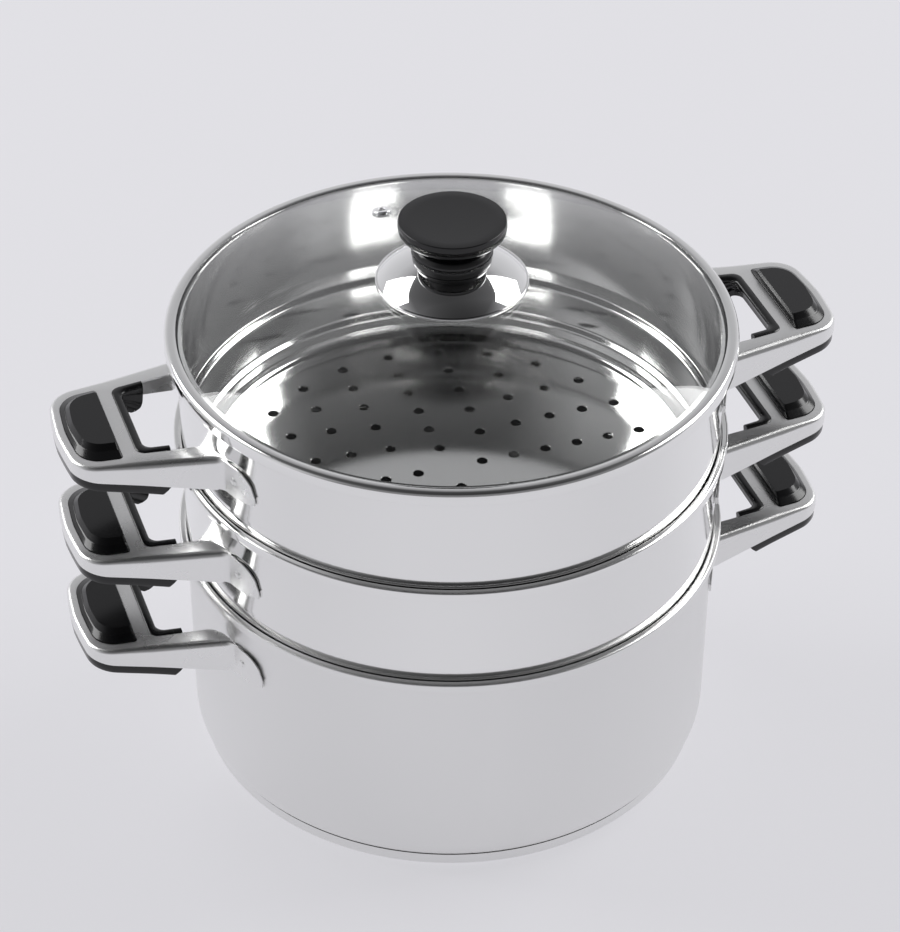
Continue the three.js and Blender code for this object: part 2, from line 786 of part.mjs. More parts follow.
addPot();
addBasket("lower_basket", potHeight, lowerRim);
addBasket("upper_basket", lowerRim, upperRim);
addLid();

export default object;
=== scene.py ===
"""Finished pieces, materials, floor, light and camera for a three-tier steamer pot.

Lengths are in metres, +Z is up and the origin is on the pot's axis in the plane it stands on. The
handles lie along X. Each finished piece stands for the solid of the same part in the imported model.
"""

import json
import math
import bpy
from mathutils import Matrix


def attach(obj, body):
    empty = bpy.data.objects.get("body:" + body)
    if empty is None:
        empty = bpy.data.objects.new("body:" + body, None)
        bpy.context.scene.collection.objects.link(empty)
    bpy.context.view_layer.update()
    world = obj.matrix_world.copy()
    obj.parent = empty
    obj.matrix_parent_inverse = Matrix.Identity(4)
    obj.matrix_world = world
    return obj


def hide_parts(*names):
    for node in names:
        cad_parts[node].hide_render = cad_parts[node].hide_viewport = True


bl_info = {
    "name": "Steamer Pot",
    "version": (1, 0, 0),
    "blender": (4, 5, 0),
    "location": "View3D > Sidebar > Steamer Pot",
    "description": "Builds the finished pieces, materials and studio of a stacked steamer pot",
    "category": "Add Mesh",
}

import bmesh
import bpy
from mathutils import Matrix, Vector

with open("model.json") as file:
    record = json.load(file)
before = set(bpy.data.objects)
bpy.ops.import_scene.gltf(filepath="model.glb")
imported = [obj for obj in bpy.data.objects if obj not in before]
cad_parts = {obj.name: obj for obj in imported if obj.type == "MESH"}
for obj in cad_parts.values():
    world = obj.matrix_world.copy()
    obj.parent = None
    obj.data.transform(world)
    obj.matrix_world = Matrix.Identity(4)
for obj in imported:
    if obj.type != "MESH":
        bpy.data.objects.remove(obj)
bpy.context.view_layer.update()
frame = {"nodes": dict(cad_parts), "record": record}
BODY_OF = {
    node: body
    for body, nodes in frame["record"]["behaviour"]["bodies"].items()
    for node in nodes
}

MM = 0.001
# Points this close are merged, and points this near to a ring lie on it
WELD = 0.002 * MM
NEAR = 5 * WELD
CREASE = math.radians(38)
# Clearance between pieces that meet, and the rounding of a cut sheet's edges
FIT = 0.3 * MM
SHEET_ROUND = 0.2 * MM

# Steps of a rounded edge, and round turned pieces from the widest to the smallest
ROUND_SEGMENTS = 4
WALL_STEPS = 144
KNOB_STEPS = 96
RING_STEPS = 64
SMALL_STEPS = 32
HOLE_STEPS = 16

# Steps along the curves of profiles and outlines
CORNER_STEPS = 8
GLASS_STEPS = 20
DOME_STEPS = 18
NOSE_STEPS = 10
BOW_STEPS = 6
OPENING_STEPS = 8
WINDOW_STEPS = 6
BEND_STEPS = 8
FLANGE_STEPS = 10
LIP_STEPS = 8
SHOULDER_STEPS = 6
BODY_STEPS = 12
BEAD_STEPS = 8

# Rim: rounded out from the mouth to a flat top, with its edge turned down
RIM_ROUND = 2 * MM
RIM_REACH = 3.6 * MM
RIM_SKIRT = 4.6 * MM
RIM_EDGE = 0.9 * MM

# Pot floor and sandwich base
POT_CORNER = 12 * MM
BASE_CORE = 3.8 * MM
BASE_SHEET = 0.8 * MM
BASE_INSET = 3.4 * MM
BASE_CORNER = 3.6 * MM
BASE_CORE_INSET = 9 * MM
BASE_LIP_ROUND = 0.3 * MM

# Basket below its collar
COLLAR_HEIGHT = 7.6 * MM
COLLAR_DRAW = 0.45 * MM
COLLAR_SINK = 0.45 * MM
LEDGE_DROP = 0.5 * MM
NECK_RADIUS = 125.8 * MM
NECK_TAPER = 3 * MM
NECK_STEP = 19.7 * MM
NECK_STEP_HALF = 1 * MM
COLLAR_ROUND = 0.5 * MM
COLLAR_FOOT_ROUND = 0.35 * MM
LEDGE_ROUND = 1.2 * MM
NECK_STEP_ROUND = 0.7 * MM
INNER_LEDGE_ROUND = 1.8 * MM
INNER_ROUND = 0.9 * MM
FLOOR_DROP = 30.8 * MM
FLOOR_CORNER = 5.4 * MM
FLOOR_EDGE = 112 * MM
HOLE_RINGS = 6
HOLES_IN_FIRST_RING = 4
HOLE_PITCH = 16.6 * MM
HOLE_BURR = 0.12 * MM

# Lid: glass, band, vent, escutcheon and knob
GLASS_LAP = 1.3 * MM
GLASS_THICKNESS = 3 * MM
GLASS_RISE = 24.85 * MM
GLASS_EDGE_HEIGHT = 2.15 * MM
GLASS_EDGE = 0.6 * MM
GLASS_BEVEL = 2 * MM
GLASS_BORE = 4.2 * MM
BAND_GAP = 1 * MM
BAND_SKIRT = 3.6 * MM
BAND_CROWN = 2.9 * MM
BAND_LIP = 0.7 * MM
BAND_FOLD = 2.2 * MM
BAND_HOOK = 0.5 * MM
BAND_FOOT_ROUND = 0.25 * MM
BAND_SHOULDER = 2.2 * MM
BAND_CREST = 1.2 * MM
BAND_CREST_ROUND = 0.6 * MM
BAND_SEAT_ROUND = 0.3 * MM
VENT_PLACE = 80.6 * MM
VENT_ANGLE = math.radians(96.4)
VENT_FLANGE = 4.8 * MM
VENT_SLEEVE = 3 * MM
VENT_BORE = 1.8 * MM
VENT_SHEET = 0.7 * MM
VENT_DRAW = 0.3 * MM
VENT_ROUND = 0.4 * MM
VENT_FOOT_ROUND = 0.3 * MM
VENT_INNER_ROUND = 0.1 * MM
ESCUTCHEON_RADIUS = 36.2 * MM
ESCUTCHEON_EDGE = 1.8 * MM
ESCUTCHEON_RISE = 14.5 * MM
ESCUTCHEON_STEP = 1.1 * MM
ESCUTCHEON_REACH = ESCUTCHEON_RADIUS - ESCUTCHEON_STEP
ESCUTCHEON_ROUND = 0.7 * MM
ESCUTCHEON_FOOT_ROUND = 0.3 * MM
ESCUTCHEON_SHEET = 0.8 * MM
DOME_FULLNESS = 0.85
KNOB_HEIGHT = 18.6 * MM
KNOB_HEAD = 7.8 * MM
KNOB_BULGE = 3 * MM
KNOB_TAPER = 2.6 * MM
KNOB_WAIST = 14 * MM
KNOB_FOOT_RADIUS = 19.6 * MM
KNOB_FOOT_TAPER = 1 * MM
KNOB_FOOT = 4 * MM
KNOB_SHOULDER = 2.6 * MM
KNOB_UNDERSIDE = 1.8 * MM
KNOB_DISH = 0.5 * MM
KNOB_DISH_EDGE = 6 * MM
KNOB_DISH_START = 0.15 * MM
KNOB_TOP_DRAW = 0.7 * MM
KNOB_TOP_ROUND = 0.35 * MM
KNOB_BULGE_ROUND = 2.2 * MM
KNOB_TAPER_ROUND = 1.6 * MM
KNOB_UNDER_ROUND = 0.8 * MM
KNOB_NECK = 1 * MM
KNOB_NECK_ROUND = 1.6 * MM
KNOB_FACE = 1 * MM
KNOB_FOOT_ROUND = 0.3 * MM
SCREW_RADIUS = 2.5 * MM
SCREW_BORE = SCREW_RADIUS + FIT
SCREW_HEAD_RADIUS = 4.6 * MM
SCREW_HEAD = 2.6 * MM
SCREW_REACH = 13 * MM
WASHER_RADIUS = 9 * MM
WASHER = 1 * MM
GASKET = 1.2 * MM
GASKET_ROUND = 0.35 * MM

# Screws: shares of the head's height and radius, and of the shank's radius
RECESS_DEPTH_SHARE = 0.6
RECESS_LIP_SHARE = 0.05
RECESS_FLOOR_SHARE = 0.75
RECESS_MOUTH_SHARE = 0.85
HEAD_CROWN_SHARE = 0.7
HEAD_RISE_SHARE = 0.45
HEAD_ROUND = 0.3 * MM
HEAD_EDGE_ROUND = 0.1 * MM
SCREW_POINT = 0.6 * MM
SCREW_POINT_SHARE = 0.7

# Handle, with X running out from the pot's axis and Z up from its top plate
PLATE_DROP = 19.9 * MM
SHELL_SHEET = 1 * MM
SHELL_NOSE = 193 * MM
NOSE_BULGE = 2.6 * MM
NOSE_BOW = 0.22 * MM
NOSE_HALF = 30.6 * MM
ROOT_HALF = 41.6 * MM
SHELL_CORNER = 15 * MM
SHOULDER = 2 * MM
SHOULDER_AT_ARM = 3.4 * MM
SHOULDER_AT_WALL = 0.4 * MM
ARM_START = 178 * MM
SKIRT_START = 130.8 * MM
SKIRT_AT_NOSE = 6.4 * MM
SKIRT_AT_BAR = 11.5 * MM
SKIRT_AT_WALL = 17 * MM
OPENING_END = 160.9 * MM
OPENING_HALF = 27 * MM
OPENING_ROOT_HALF = 30.2 * MM
OPENING_CORNER = 5 * MM
WINDOW_START = 167.3 * MM
BAR_MIDDLE = (OPENING_END + WINDOW_START) / 2
WINDOW_END = 188.4 * MM
WINDOW_BULGE = 1.8 * MM
WINDOW_BOW = 0.15 * MM
WINDOW_HALF = 28 * MM
WINDOW_NOSE_HALF = 26.4 * MM
WINDOW_CORNER = 1.6 * MM
WINDOW_NOSE_CORNER = 12.2 * MM
LIP_TURN = 135.5 * MM
LIP_CLEARANCE = 0.4 * MM
FLANGE_BEND = 6 * MM
FLANGE_TIP_ANGLE = math.radians(28.6)
FLANGE_FALL_START = 52 * MM
FLANGE_RISE_START = 50 * MM
FLANGE_TIP_TOP = 10 * MM
FLANGE_TIP_FOOT = 14.5 * MM
WELD_MARK_ANGLE = math.radians(22.5)
WELD_MARK_DROP = 8 * MM
WELD_MARK_RADIUS = 2.1 * MM
WELD_MARK_RISE = 0.55 * MM
# Its profile in shares of its radius and its rise
WELD_MARK_SHARES = ((0, 0.2), (0.3, 0.25), (0.7, 1), (1, 0), (0.9, -1), (0, -1))
SKIRT_GAP = 0.25 * MM
GRIP_BAND = 5 * MM
BAND_INSET = 0.35 * MM
BAND_ROUND = 0.7 * MM
BAND_MIDDLE_SHARE = 0.6
BAND_ROUND_SHARE = 0.3
GRIP_ROOT = 145.4 * MM
ARM_END_DRAW = 7 * MM
ARM_END_FADE = 162 * MM
ARM_END_CURVE = 3
ARMS_MEET = 230 * MM
LINING = 4.2 * MM
LINING_GAP = 0.1 * MM
BEAD_CREST = 1.8 * MM
BEAD_HEIGHT = 0.9 * MM
BEAD_FOOT = 0.2 * MM
BEAD_FALL = 1.4 * MM
BEAD_ROOT = 0.4 * MM
FINGER_RIBS = 2
FINGER_RIB_DEPTH = 0.6 * MM
BAR_UNDERCUT = 3.8 * MM
UNDERCUT_CURVE = 1.5
HOLLOW_SHARE = 0.61
HOLLOW_START = 147 * MM
HOLLOW_FULL = 155 * MM
PAD_GAP = 0.25 * MM
PAD_ROOT = 1.4 * MM
PAD_EDGE = 0.5 * MM
PAD_STEP = 1.9 * MM
PAD_HEIGHT = 4.4 * MM
# What the pad draws in at the bar, its sides and its nose by the step, and above it by the top
PAD_STEP_INSET = Vector((0.65, 3.9, 1.85)) * MM
PAD_TOP_INSET = Vector((1.4, 7.2, 4)) * MM
PAD_LEDGE = 0.45 * MM
# Rows up a slanted side of the pad, close together along its edges to keep them crisp
PAD_SLANT_SHARES = (0, 0.08, 0.92, 1)
NUT_HEIGHT = 3.2 * MM
GRIP_SCREW_RADIUS = 1.7 * MM
GRIP_SCREW_HEAD_RADIUS = 3.1 * MM
GRIP_SCREW_HEAD = 2.2 * MM
GRIP_SCREW_RECESS = 3 * MM

# Camera, as seen from the point that it looks at
VIEW_AZIMUTH = math.radians(-109.012)
VIEW_ELEVATION = math.radians(36.9)
VIEW_DISTANCE = 1.41486
VIEW_TARGET = Vector((-0.0002, 0.0001, 0.1482))
VIEW_ROLL = math.radians(0.465)
VIEW_LENS = 111.1

# Studio: the floor, and how much of its colour shows without light
STUDIO_RADIUS = 6
STUDIO_STEPS = 64
STUDIO_ROUGHNESS = 0.6
STUDIO_GLOSS = 0.1
STUDIO_SHOWN = 0.75

# Soft boxes
LAMP_SIZE = (1.5, 1.3)
LAMP_POWER = 34
LAMP_TARGET = Vector((0, 0, 0.15))
LAMP_PLACES = {"Left box": (-1.45, 1.4, 1.75), "Right box": (2.0, 0.3, 1.75)}

# World: how it dims towards the front, and how bright and how blue it is by height
FRONT_DARK_START = 0.1
FRONT_DARK_FULL = 0.5
FRONT_LEVEL = 0.36
WORLD_BLUE = 1.03
WORLD_LEVELS = ((0.001, 0.75), (0.5, 0.55), (0.63, 0.42), (0.8, 0.115), (0.999, 0.05))

# Finishes: two colours that hardly show, how much smoother stamping makes the satin steel, the
# glass's index, and how deep the marks of turning and of moulding are
ALUMINIUM = (0.62, 0.62, 0.63)
SEAL = (0.5, 0.5, 0.48)
STAMPED_POLISH = 0.02
GLASS_IOR = 1.5
TURNED_DEPTH = 0.02 * MM
MOULDED_DEPTH = 0.05 * MM


class SteamerSizes(bpy.types.PropertyGroup):
    """Main sizes of the pot, its baskets and its lid."""

    mouth_radius: bpy.props.FloatProperty(
        name="Mouth radius", description="Inside radius of the pot and the baskets",
        default=130 * MM, unit="LENGTH",
    )
    sheet: bpy.props.FloatProperty(
        name="Sheet", description="Thickness of the walls", default=0.8 * MM, unit="LENGTH",
    )
    pot_height: bpy.props.FloatProperty(
        name="Pot height", description="From the floor to the pot's rim",
        default=122.5 * MM, unit="LENGTH",
    )
    tier_pitch: bpy.props.FloatProperty(
        name="Tier pitch", description="From one rim to the next", default=54.7 * MM, unit="LENGTH",
    )
    hole_diameter: bpy.props.FloatProperty(
        name="Hole diameter", description="Of the steam holes in the basket floors",
        default=5.4 * MM, unit="LENGTH",
    )
    knob_radius: bpy.props.FloatProperty(
        name="Knob radius", description="Of the knob's head", default=25.9 * MM, unit="LENGTH",
    )


class SteamerFinishes(bpy.types.PropertyGroup):
    """Colours and gloss of the pot's materials."""

    satin: bpy.props.FloatVectorProperty(
        name="Satin steel", description="Colour of the pot and the handle shells",
        default=(0.84, 0.84, 0.835), subtype="COLOR", min=0, max=1,
    )
    polished: bpy.props.FloatVectorProperty(
        name="Polished steel", description="Colour of the baskets and the lid's band",
        default=(0.87, 0.87, 0.865), subtype="COLOR", min=0, max=1,
    )
    chrome: bpy.props.FloatVectorProperty(
        name="Chrome", description="Colour of the escutcheon and the vent",
        default=(0.88, 0.88, 0.88), subtype="COLOR", min=0, max=1,
    )
    bakelite: bpy.props.FloatVectorProperty(
        name="Bakelite", description="Colour of the grips and the knob",
        default=(0.005, 0.005, 0.0055), subtype="COLOR", min=0, max=1,
    )
    glass: bpy.props.FloatVectorProperty(
        name="Glass", description="Tint of the lid's glass",
        default=(0.945, 0.95, 0.945), subtype="COLOR", min=0, max=1,
    )
    floor: bpy.props.FloatVectorProperty(
        name="Floor", description="Colour of the studio floor",
        default=(0.76, 0.755, 0.79), subtype="COLOR", min=0, max=1,
    )
    satin_roughness: bpy.props.FloatProperty(
        name="Satin roughness", description="Of the satin steel", default=0.3, min=0, max=1,
        subtype="FACTOR",
    )
    polished_roughness: bpy.props.FloatProperty(
        name="Polish roughness", description="Of the polished steel", default=0.1, min=0, max=1,
        subtype="FACTOR",
    )


# Shapes


def between(start, end, share):
    """The value at a share of the way from a start to an end."""
    return start + (end - start) * share


def share_of(value, start, end):
    """How far a value lies on the way from a start to an end, from 0 to 1."""
    return min(1, max(0, (value - start) / (end - start)))


def quarter_turns(steps):
    """Angles from none to a right angle."""
    return [math.pi / 2 * i / steps for i in range(steps + 1)]


def direction(turn):
    """The flat direction at an angle from the X axis."""
    return Vector((math.cos(turn), math.sin(turn)))


def turned(profile, steps=WALL_STEPS, closed=True):
    """Turns a profile of (radius, height, rounding) points about Z and rounds its edges.

    Ends that lie off the axis are joined, unless the piece isn't closed.
    """
    bm = bmesh.new()
    corners = [bm.verts.new((radius, 0, height)) for radius, height, _ in profile]
    links = [
        bm.edges.new(pair) for pair in zip(corners, corners[1:]) if pair[0].co.x + pair[1].co.x
    ]
    if closed and profile[0][0] > 0:
        links.append(bm.edges.new((corners[-1], corners[0])))
    bmesh.ops.spin(
        bm, geom=corners + links, cent=(0, 0, 0), axis=(0, 0, 1), dvec=(0, 0, 0), angle=math.tau,
        steps=steps, use_merge=True, use_normal_flip=False, use_duplicate=False,
    )
    merge(bm)
    for radius, height, rounding in profile:
        if rounding:
            round_ring(bm, radius, height, rounding)
    return bm


def merge(bm, distance=WELD):
    """Merges points that meet, which closes seams and poles, and turns the faces outwards."""
    bmesh.ops.remove_doubles(bm, verts=bm.verts[:], dist=distance)
    bmesh.ops.recalc_face_normals(bm, faces=bm.faces[:])


def round_ring(bm, radius, height, rounding):
    """Rounds a turned piece's edge at a radius and a height by cutting it back on both sides."""

    def on_ring(vert):
        off = abs(math.hypot(vert.co.x, vert.co.y) - radius)
        return off < NEAR and abs(vert.co.z - height) < NEAR

    edges = [edge for edge in bm.edges if all(on_ring(vert) for vert in edge.verts)]
    bmesh.ops.bevel(
        bm, geom=edges, offset=rounding, offset_type="OFFSET", segments=ROUND_SEGMENTS,
        profile=0.5, affect="EDGES", clamp_overlap=True, material=-1,
    )


def corner(radius, height, rounding):
    """Profile points of a quarter round from straight down to straight out about a centre."""
    return [
        (radius + rounding * math.sin(turn), height - rounding * math.cos(turn), 0)
        for turn in quarter_turns(CORNER_STEPS)
    ]


def loop_of(bm, points):
    """Vertices and edges of a closed loop through points."""
    verts = [bm.verts.new(point) for point in points]
    edges = [bm.edges.new(pair) for pair in zip(verts, verts[1:] + verts[:1])]
    return verts, edges


def chain_of(bm, verts):
    """Edges that join vertices one after the other."""
    return [bm.edges.new(pair) for pair in zip(verts, verts[1:])]


def grow(bm, verts, edges, points):
    """Extrudes a chain of edges, or a closed loop, to the points that its vertices go to."""
    grown = bmesh.ops.extrude_edge_only(bm, edges=edges)["geom"]
    made = {item for item in grown if isinstance(item, bmesh.types.BMVert)}
    following = []
    for vert, point in zip(verts, points):
        others = (edge.other_vert(vert) for edge in vert.link_edges)
        copy = next(other for other in others if other in made)
        copy.co = point
        following.append(copy)
    pairs = zip(following, following[1:] + following[:1])
    return following, [edge for edge in map(bm.edges.get, pairs) if edge]


def fill(bm, edges):
    """Fills the loops that edges make, seen from above, and leaves the holes in them open."""
    bmesh.ops.triangle_fill(
        bm, use_beauty=True, use_dissolve=False, edges=edges, normal=(0, 0, 1)
    )


def lofted(loops, hollow=()):
    """A solid through closed loops that have the same number of points, capped at both ends.

    The last cap may have a hollow, which goes in through loops of its own.
    """
    bm = bmesh.new()
    verts, edges = loop_of(bm, loops[0])
    fill(bm, edges)
    for points in loops[1:]:
        verts, edges = grow(bm, verts, edges, points)
    if hollow:
        verts, rim = loop_of(bm, hollow[0])
        fill(bm, edges + rim)
        edges = rim
    for points in hollow[1:]:
        verts, edges = grow(bm, verts, edges, points)
    fill(bm, edges)
    bmesh.ops.recalc_face_normals(bm, faces=bm.faces[:])
    return bm


def fillet(before, point, after, radius, steps):
    """Points of the arc that rounds the corner at a point of an outline."""
    point = Vector(point)
    back = (Vector(before) - point).normalized()
    ahead = (Vector(after) - point).normalized()
    half = back.angle(ahead) / 2
    reach = radius / math.tan(half)
    centre = point + (back + ahead).normalized() * (radius / math.sin(half))
    start = point + back * reach - centre
    end = point + ahead * reach - centre
    return [centre + start.slerp(end, i / steps) * radius for i in range(steps + 1)]


def bowed(start, end, bow):
    """Points from a start up to an end, bowed out to the right of the way between them."""
    start, end = Vector(start), Vector(end)
    along = end - start
    aside = Vector((along.y, -along.x)).normalized() * bow * 4
    shares = [i / BOW_STEPS for i in range(BOW_STEPS)]
    return [start + along * share + aside * share * (1 - share) for share in shares]


def bowed_end(tip, point, start, radius, bow):
    """Half an outline from the middle of its bowed end, rounded at the corner point."""
    arc = fillet(tip, point, start, radius, NOSE_STEPS)
    return bowed(tip, arc[0], bow) + arc


def mirrored(points):
    """The same points on the other side of the X axis, in the same order."""
    return [Vector((point.x, -point.y)) for point in points]


def whole(half):
    """Both sides of an outline from its half, which starts on the X axis."""
    return mirrored(half)[::-1][:-1] + half


def at_height(points, height):
    """Flat points raised to a height, which may be a function of the point."""
    rise = height if callable(height) else lambda point: height
    return [Vector((point.x, point.y, rise(point))) for point in points]


def mesh_of(bm, name):
    """A mesh made from a bmesh, which is used up."""
    mesh = bpy.data.meshes.new(name)
    bm.to_mesh(mesh)
    bm.free()
    return mesh


def linked(name, data):
    """A new object in the scene for a mesh, a lamp or a camera."""
    obj = bpy.data.objects.new(name, data)
    bpy.context.scene.collection.objects.link(obj)
    return obj


def joined(*parts):
    """One bmesh that holds several, which are used up."""
    bm = bmesh.new()
    for part in parts:
        mesh = mesh_of(part, "joined")
        bm.from_mesh(mesh)
        bpy.data.meshes.remove(mesh)
    return bm


def stood(bm, around, place, lean):
    """Leans a piece about Y, puts it in its place and swings it about the pot's axis."""
    matrix = (
        Matrix.Rotation(around, 4, "Z")
        @ Matrix.Translation(place)
        @ Matrix.Rotation(lean, 4, "Y")
    )
    bmesh.ops.transform(bm, matrix=matrix, verts=bm.verts[:])
    return bm


def crease_edges(bm):
    """Shades a piece smoothly between its hard edges."""
    for face in bm.faces:
        face.smooth = True
    for edge in bm.edges:
        if len(edge.link_faces) == 2 and edge.calc_face_angle(0) > CREASE:
            edge.smooth = False


def finished(bm, name, node, finish):
    """Makes a piece from a bmesh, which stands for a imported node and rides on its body."""
    crease_edges(bm)
    mesh = mesh_of(bm, name)
    mesh.materials.append(bpy.data.materials[finish])
    piece = linked(name, mesh)
    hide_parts(node)
    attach(piece, BODY_OF[node])


def keep_node(node, finish):
    """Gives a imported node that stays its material."""
    mesh = frame["nodes"][node].data
    mesh.materials.clear()
    mesh.materials.append(bpy.data.materials[finish])


# Sizes that follow


def wall_radius(sizes):
    """Outside radius of the pot and of the baskets above their seats."""
    return sizes.mouth_radius + sizes.sheet


def rim_heights(sizes):
    """Rims of the pot, the lower basket and the upper basket."""
    return [sizes.pot_height + tier * sizes.tier_pitch for tier in range(3)]


def glass_edge(sizes):
    return sizes.mouth_radius + GLASS_LAP


def glass_sphere(sizes):
    """Radius of the sphere that the glass's top face is part of."""
    return (glass_edge(sizes) ** 2 + GLASS_RISE**2) / (2 * GLASS_RISE)


def dome_height(sizes, radius, below):
    """Height of the glass at a radius, on the face that lies that far below the top one."""
    sphere = glass_sphere(sizes)
    top = rim_heights(sizes)[2] + GLASS_EDGE_HEIGHT + GLASS_RISE
    return top - sphere + math.sqrt((sphere - below) ** 2 - radius**2)


# Pot and baskets


def rim_profile(sizes, top):
    """A rim, upwards outside the wall, over the top and down inside it."""
    outer = wall_radius(sizes) + RIM_REACH
    mouth = sizes.mouth_radius
    sheet = sizes.sheet
    return [
        (wall_radius(sizes), top - sheet, RIM_ROUND - sheet),
        (outer - sheet, top - sheet, RIM_EDGE / 3),
        (outer - sheet, top - RIM_SKIRT, SHEET_ROUND),
        (outer, top - RIM_SKIRT, SHEET_ROUND),
        (outer, top, RIM_EDGE),
        (mouth, top, RIM_ROUND),
    ]


def pot_wall(sizes):
    centre = wall_radius(sizes) - POT_CORNER
    floor = BASE_SHEET + BASE_CORE
    outer = corner(centre, floor + POT_CORNER, POT_CORNER)
    inner = corner(centre, floor + POT_CORNER, POT_CORNER - sizes.sheet)
    return turned([
        (0, floor, 0), *outer, *rim_profile(sizes, sizes.pot_height), *reversed(inner),
        (0, floor + sizes.sheet, 0),
    ])


def base_cup(sizes):
    """The steel cup under the floor, whose wall ends at the seam line."""
    radius = wall_radius(sizes) - BASE_INSET
    centre = wall_radius(sizes) - POT_CORNER
    cleared = POT_CORNER + FIT

    def under(r):
        return BASE_SHEET + BASE_CORE + POT_CORNER - math.sqrt(cleared**2 - (r - centre) ** 2)

    core = wall_radius(sizes) - BASE_CORE_INSET + FIT
    return turned([
        (0, 0, 0), *corner(radius - BASE_CORNER, BASE_CORNER, BASE_CORNER),
        (radius, under(radius), BASE_LIP_ROUND),
        (radius - BASE_SHEET, under(radius - BASE_SHEET), 0),
        (radius - BASE_CORNER, under(radius - BASE_CORNER), 0),
        (core, BASE_SHEET + BASE_CORE - FIT, 0), (core, BASE_SHEET, 0), (0, BASE_SHEET, 0),
    ])


def basket_side(sizes, seat, top):
    """A basket's wall, collar and neck, open where the perforated floor joins it."""
    wall = wall_radius(sizes)
    sheet = sizes.sheet
    stepped = NECK_RADIUS - NECK_TAPER
    floor = seat - FLOOR_DROP
    centre = stepped - FLOOR_CORNER
    outer = corner(centre, floor + FLOOR_CORNER, FLOOR_CORNER)
    inner = corner(centre, floor + FLOOR_CORNER, FLOOR_CORNER - sheet)
    collar = seat - COLLAR_SINK
    ledge = collar - LEDGE_DROP
    step = seat - NECK_STEP
    return [
        (FLOOR_EDGE, floor, 0), *outer,
        (stepped, step - NECK_STEP_HALF, NECK_STEP_ROUND),
        (NECK_RADIUS, step + NECK_STEP_HALF, NECK_STEP_ROUND),
        (NECK_RADIUS, ledge, LEDGE_ROUND), (wall - COLLAR_DRAW, collar, COLLAR_FOOT_ROUND),
        (wall, seat + COLLAR_HEIGHT, COLLAR_ROUND),
        *rim_profile(sizes, top),
        (sizes.mouth_radius, seat + COLLAR_HEIGHT, COLLAR_ROUND),
        (sizes.mouth_radius - COLLAR_DRAW, collar + sheet, INNER_ROUND),
        (NECK_RADIUS - sheet, ledge + sheet, INNER_LEDGE_ROUND),
        (NECK_RADIUS - sheet, step + NECK_STEP_HALF, INNER_ROUND),
        (stepped - sheet, step - NECK_STEP_HALF, INNER_ROUND),
        *reversed(inner), (FLOOR_EDGE, floor + sheet, 0),
    ]


def hole_places():
    """Centres of the floor holes: ring k has k times as many as the first, k steps out."""
    places = []
    for ring in range(1, HOLE_RINGS + 1):
        count = ring * HOLES_IN_FIRST_RING
        for i in range(count):
            place = direction(math.tau * i / count) * ring * HOLE_PITCH
            places.append(place.to_3d())
    return places


def perforated_floor(sizes, height):
    """The floor's disc with its holes, whose edges are broken, open at its outer edge."""
    bm = bmesh.new()
    top = height + sizes.sheet
    bmesh.ops.create_circle(
        bm, cap_ends=False, radius=FLOOR_EDGE, segments=WALL_STEPS,
        matrix=Matrix.Translation((0, 0, top)),
    )
    holes = []
    for place in hole_places():
        verts = bmesh.ops.create_circle(
            bm, cap_ends=False, radius=sizes.hole_diameter / 2 + HOLE_BURR, segments=HOLE_STEPS,
            matrix=Matrix.Translation(place + Vector((0, 0, top))),
        )["verts"]
        holes.append((place, verts))
    fill(bm, bm.edges[:])
    for place, verts in holes:
        edges = [bm.edges.get(pair) for pair in zip(verts, verts[1:] + verts[:1])]
        broken = 1 - HOLE_BURR / (sizes.hole_diameter / 2 + HOLE_BURR)
        narrow = [place + (vert.co - place) * broken for vert in verts]
        for level in (top - HOLE_BURR, height + sizes.sheet / 2):
            points = [Vector((point.x, point.y, level)) for point in narrow]
            verts, edges = grow(bm, verts, edges, points)
    under = bmesh.ops.duplicate(bm, geom=bm.verts[:] + bm.edges[:] + bm.faces[:])["geom"]
    flipped = [item for item in under if isinstance(item, bmesh.types.BMVert)]
    middle = Matrix.Translation((0, 0, -height - sizes.sheet / 2))
    bmesh.ops.scale(bm, vec=(1, 1, -1), space=middle, verts=flipped)
    bmesh.ops.remove_doubles(bm, verts=bm.verts[:], dist=WELD)
    return bm


def basket(sizes, seat, top):
    side = turned(basket_side(sizes, seat, top), closed=False)
    bm = joined(side, perforated_floor(sizes, seat - FLOOR_DROP))
    merge(bm, NEAR)
    return bm


# Lid


def lid_dome(sizes):
    edge = glass_edge(sizes)
    top, bottom = [], []
    for i in range(GLASS_STEPS + 1):
        radius = between(GLASS_BORE, edge, i / GLASS_STEPS)
        top.append((radius, dome_height(sizes, radius, 0), 0))
        under = between(GLASS_BORE, edge - GLASS_BEVEL, i / GLASS_STEPS)
        bottom.append((under, dome_height(sizes, under, GLASS_THICKNESS), 0))
    foot = (edge, dome_height(sizes, edge, 0) - GLASS_EDGE, 0)
    return turned([*bottom, foot, *reversed(top)])


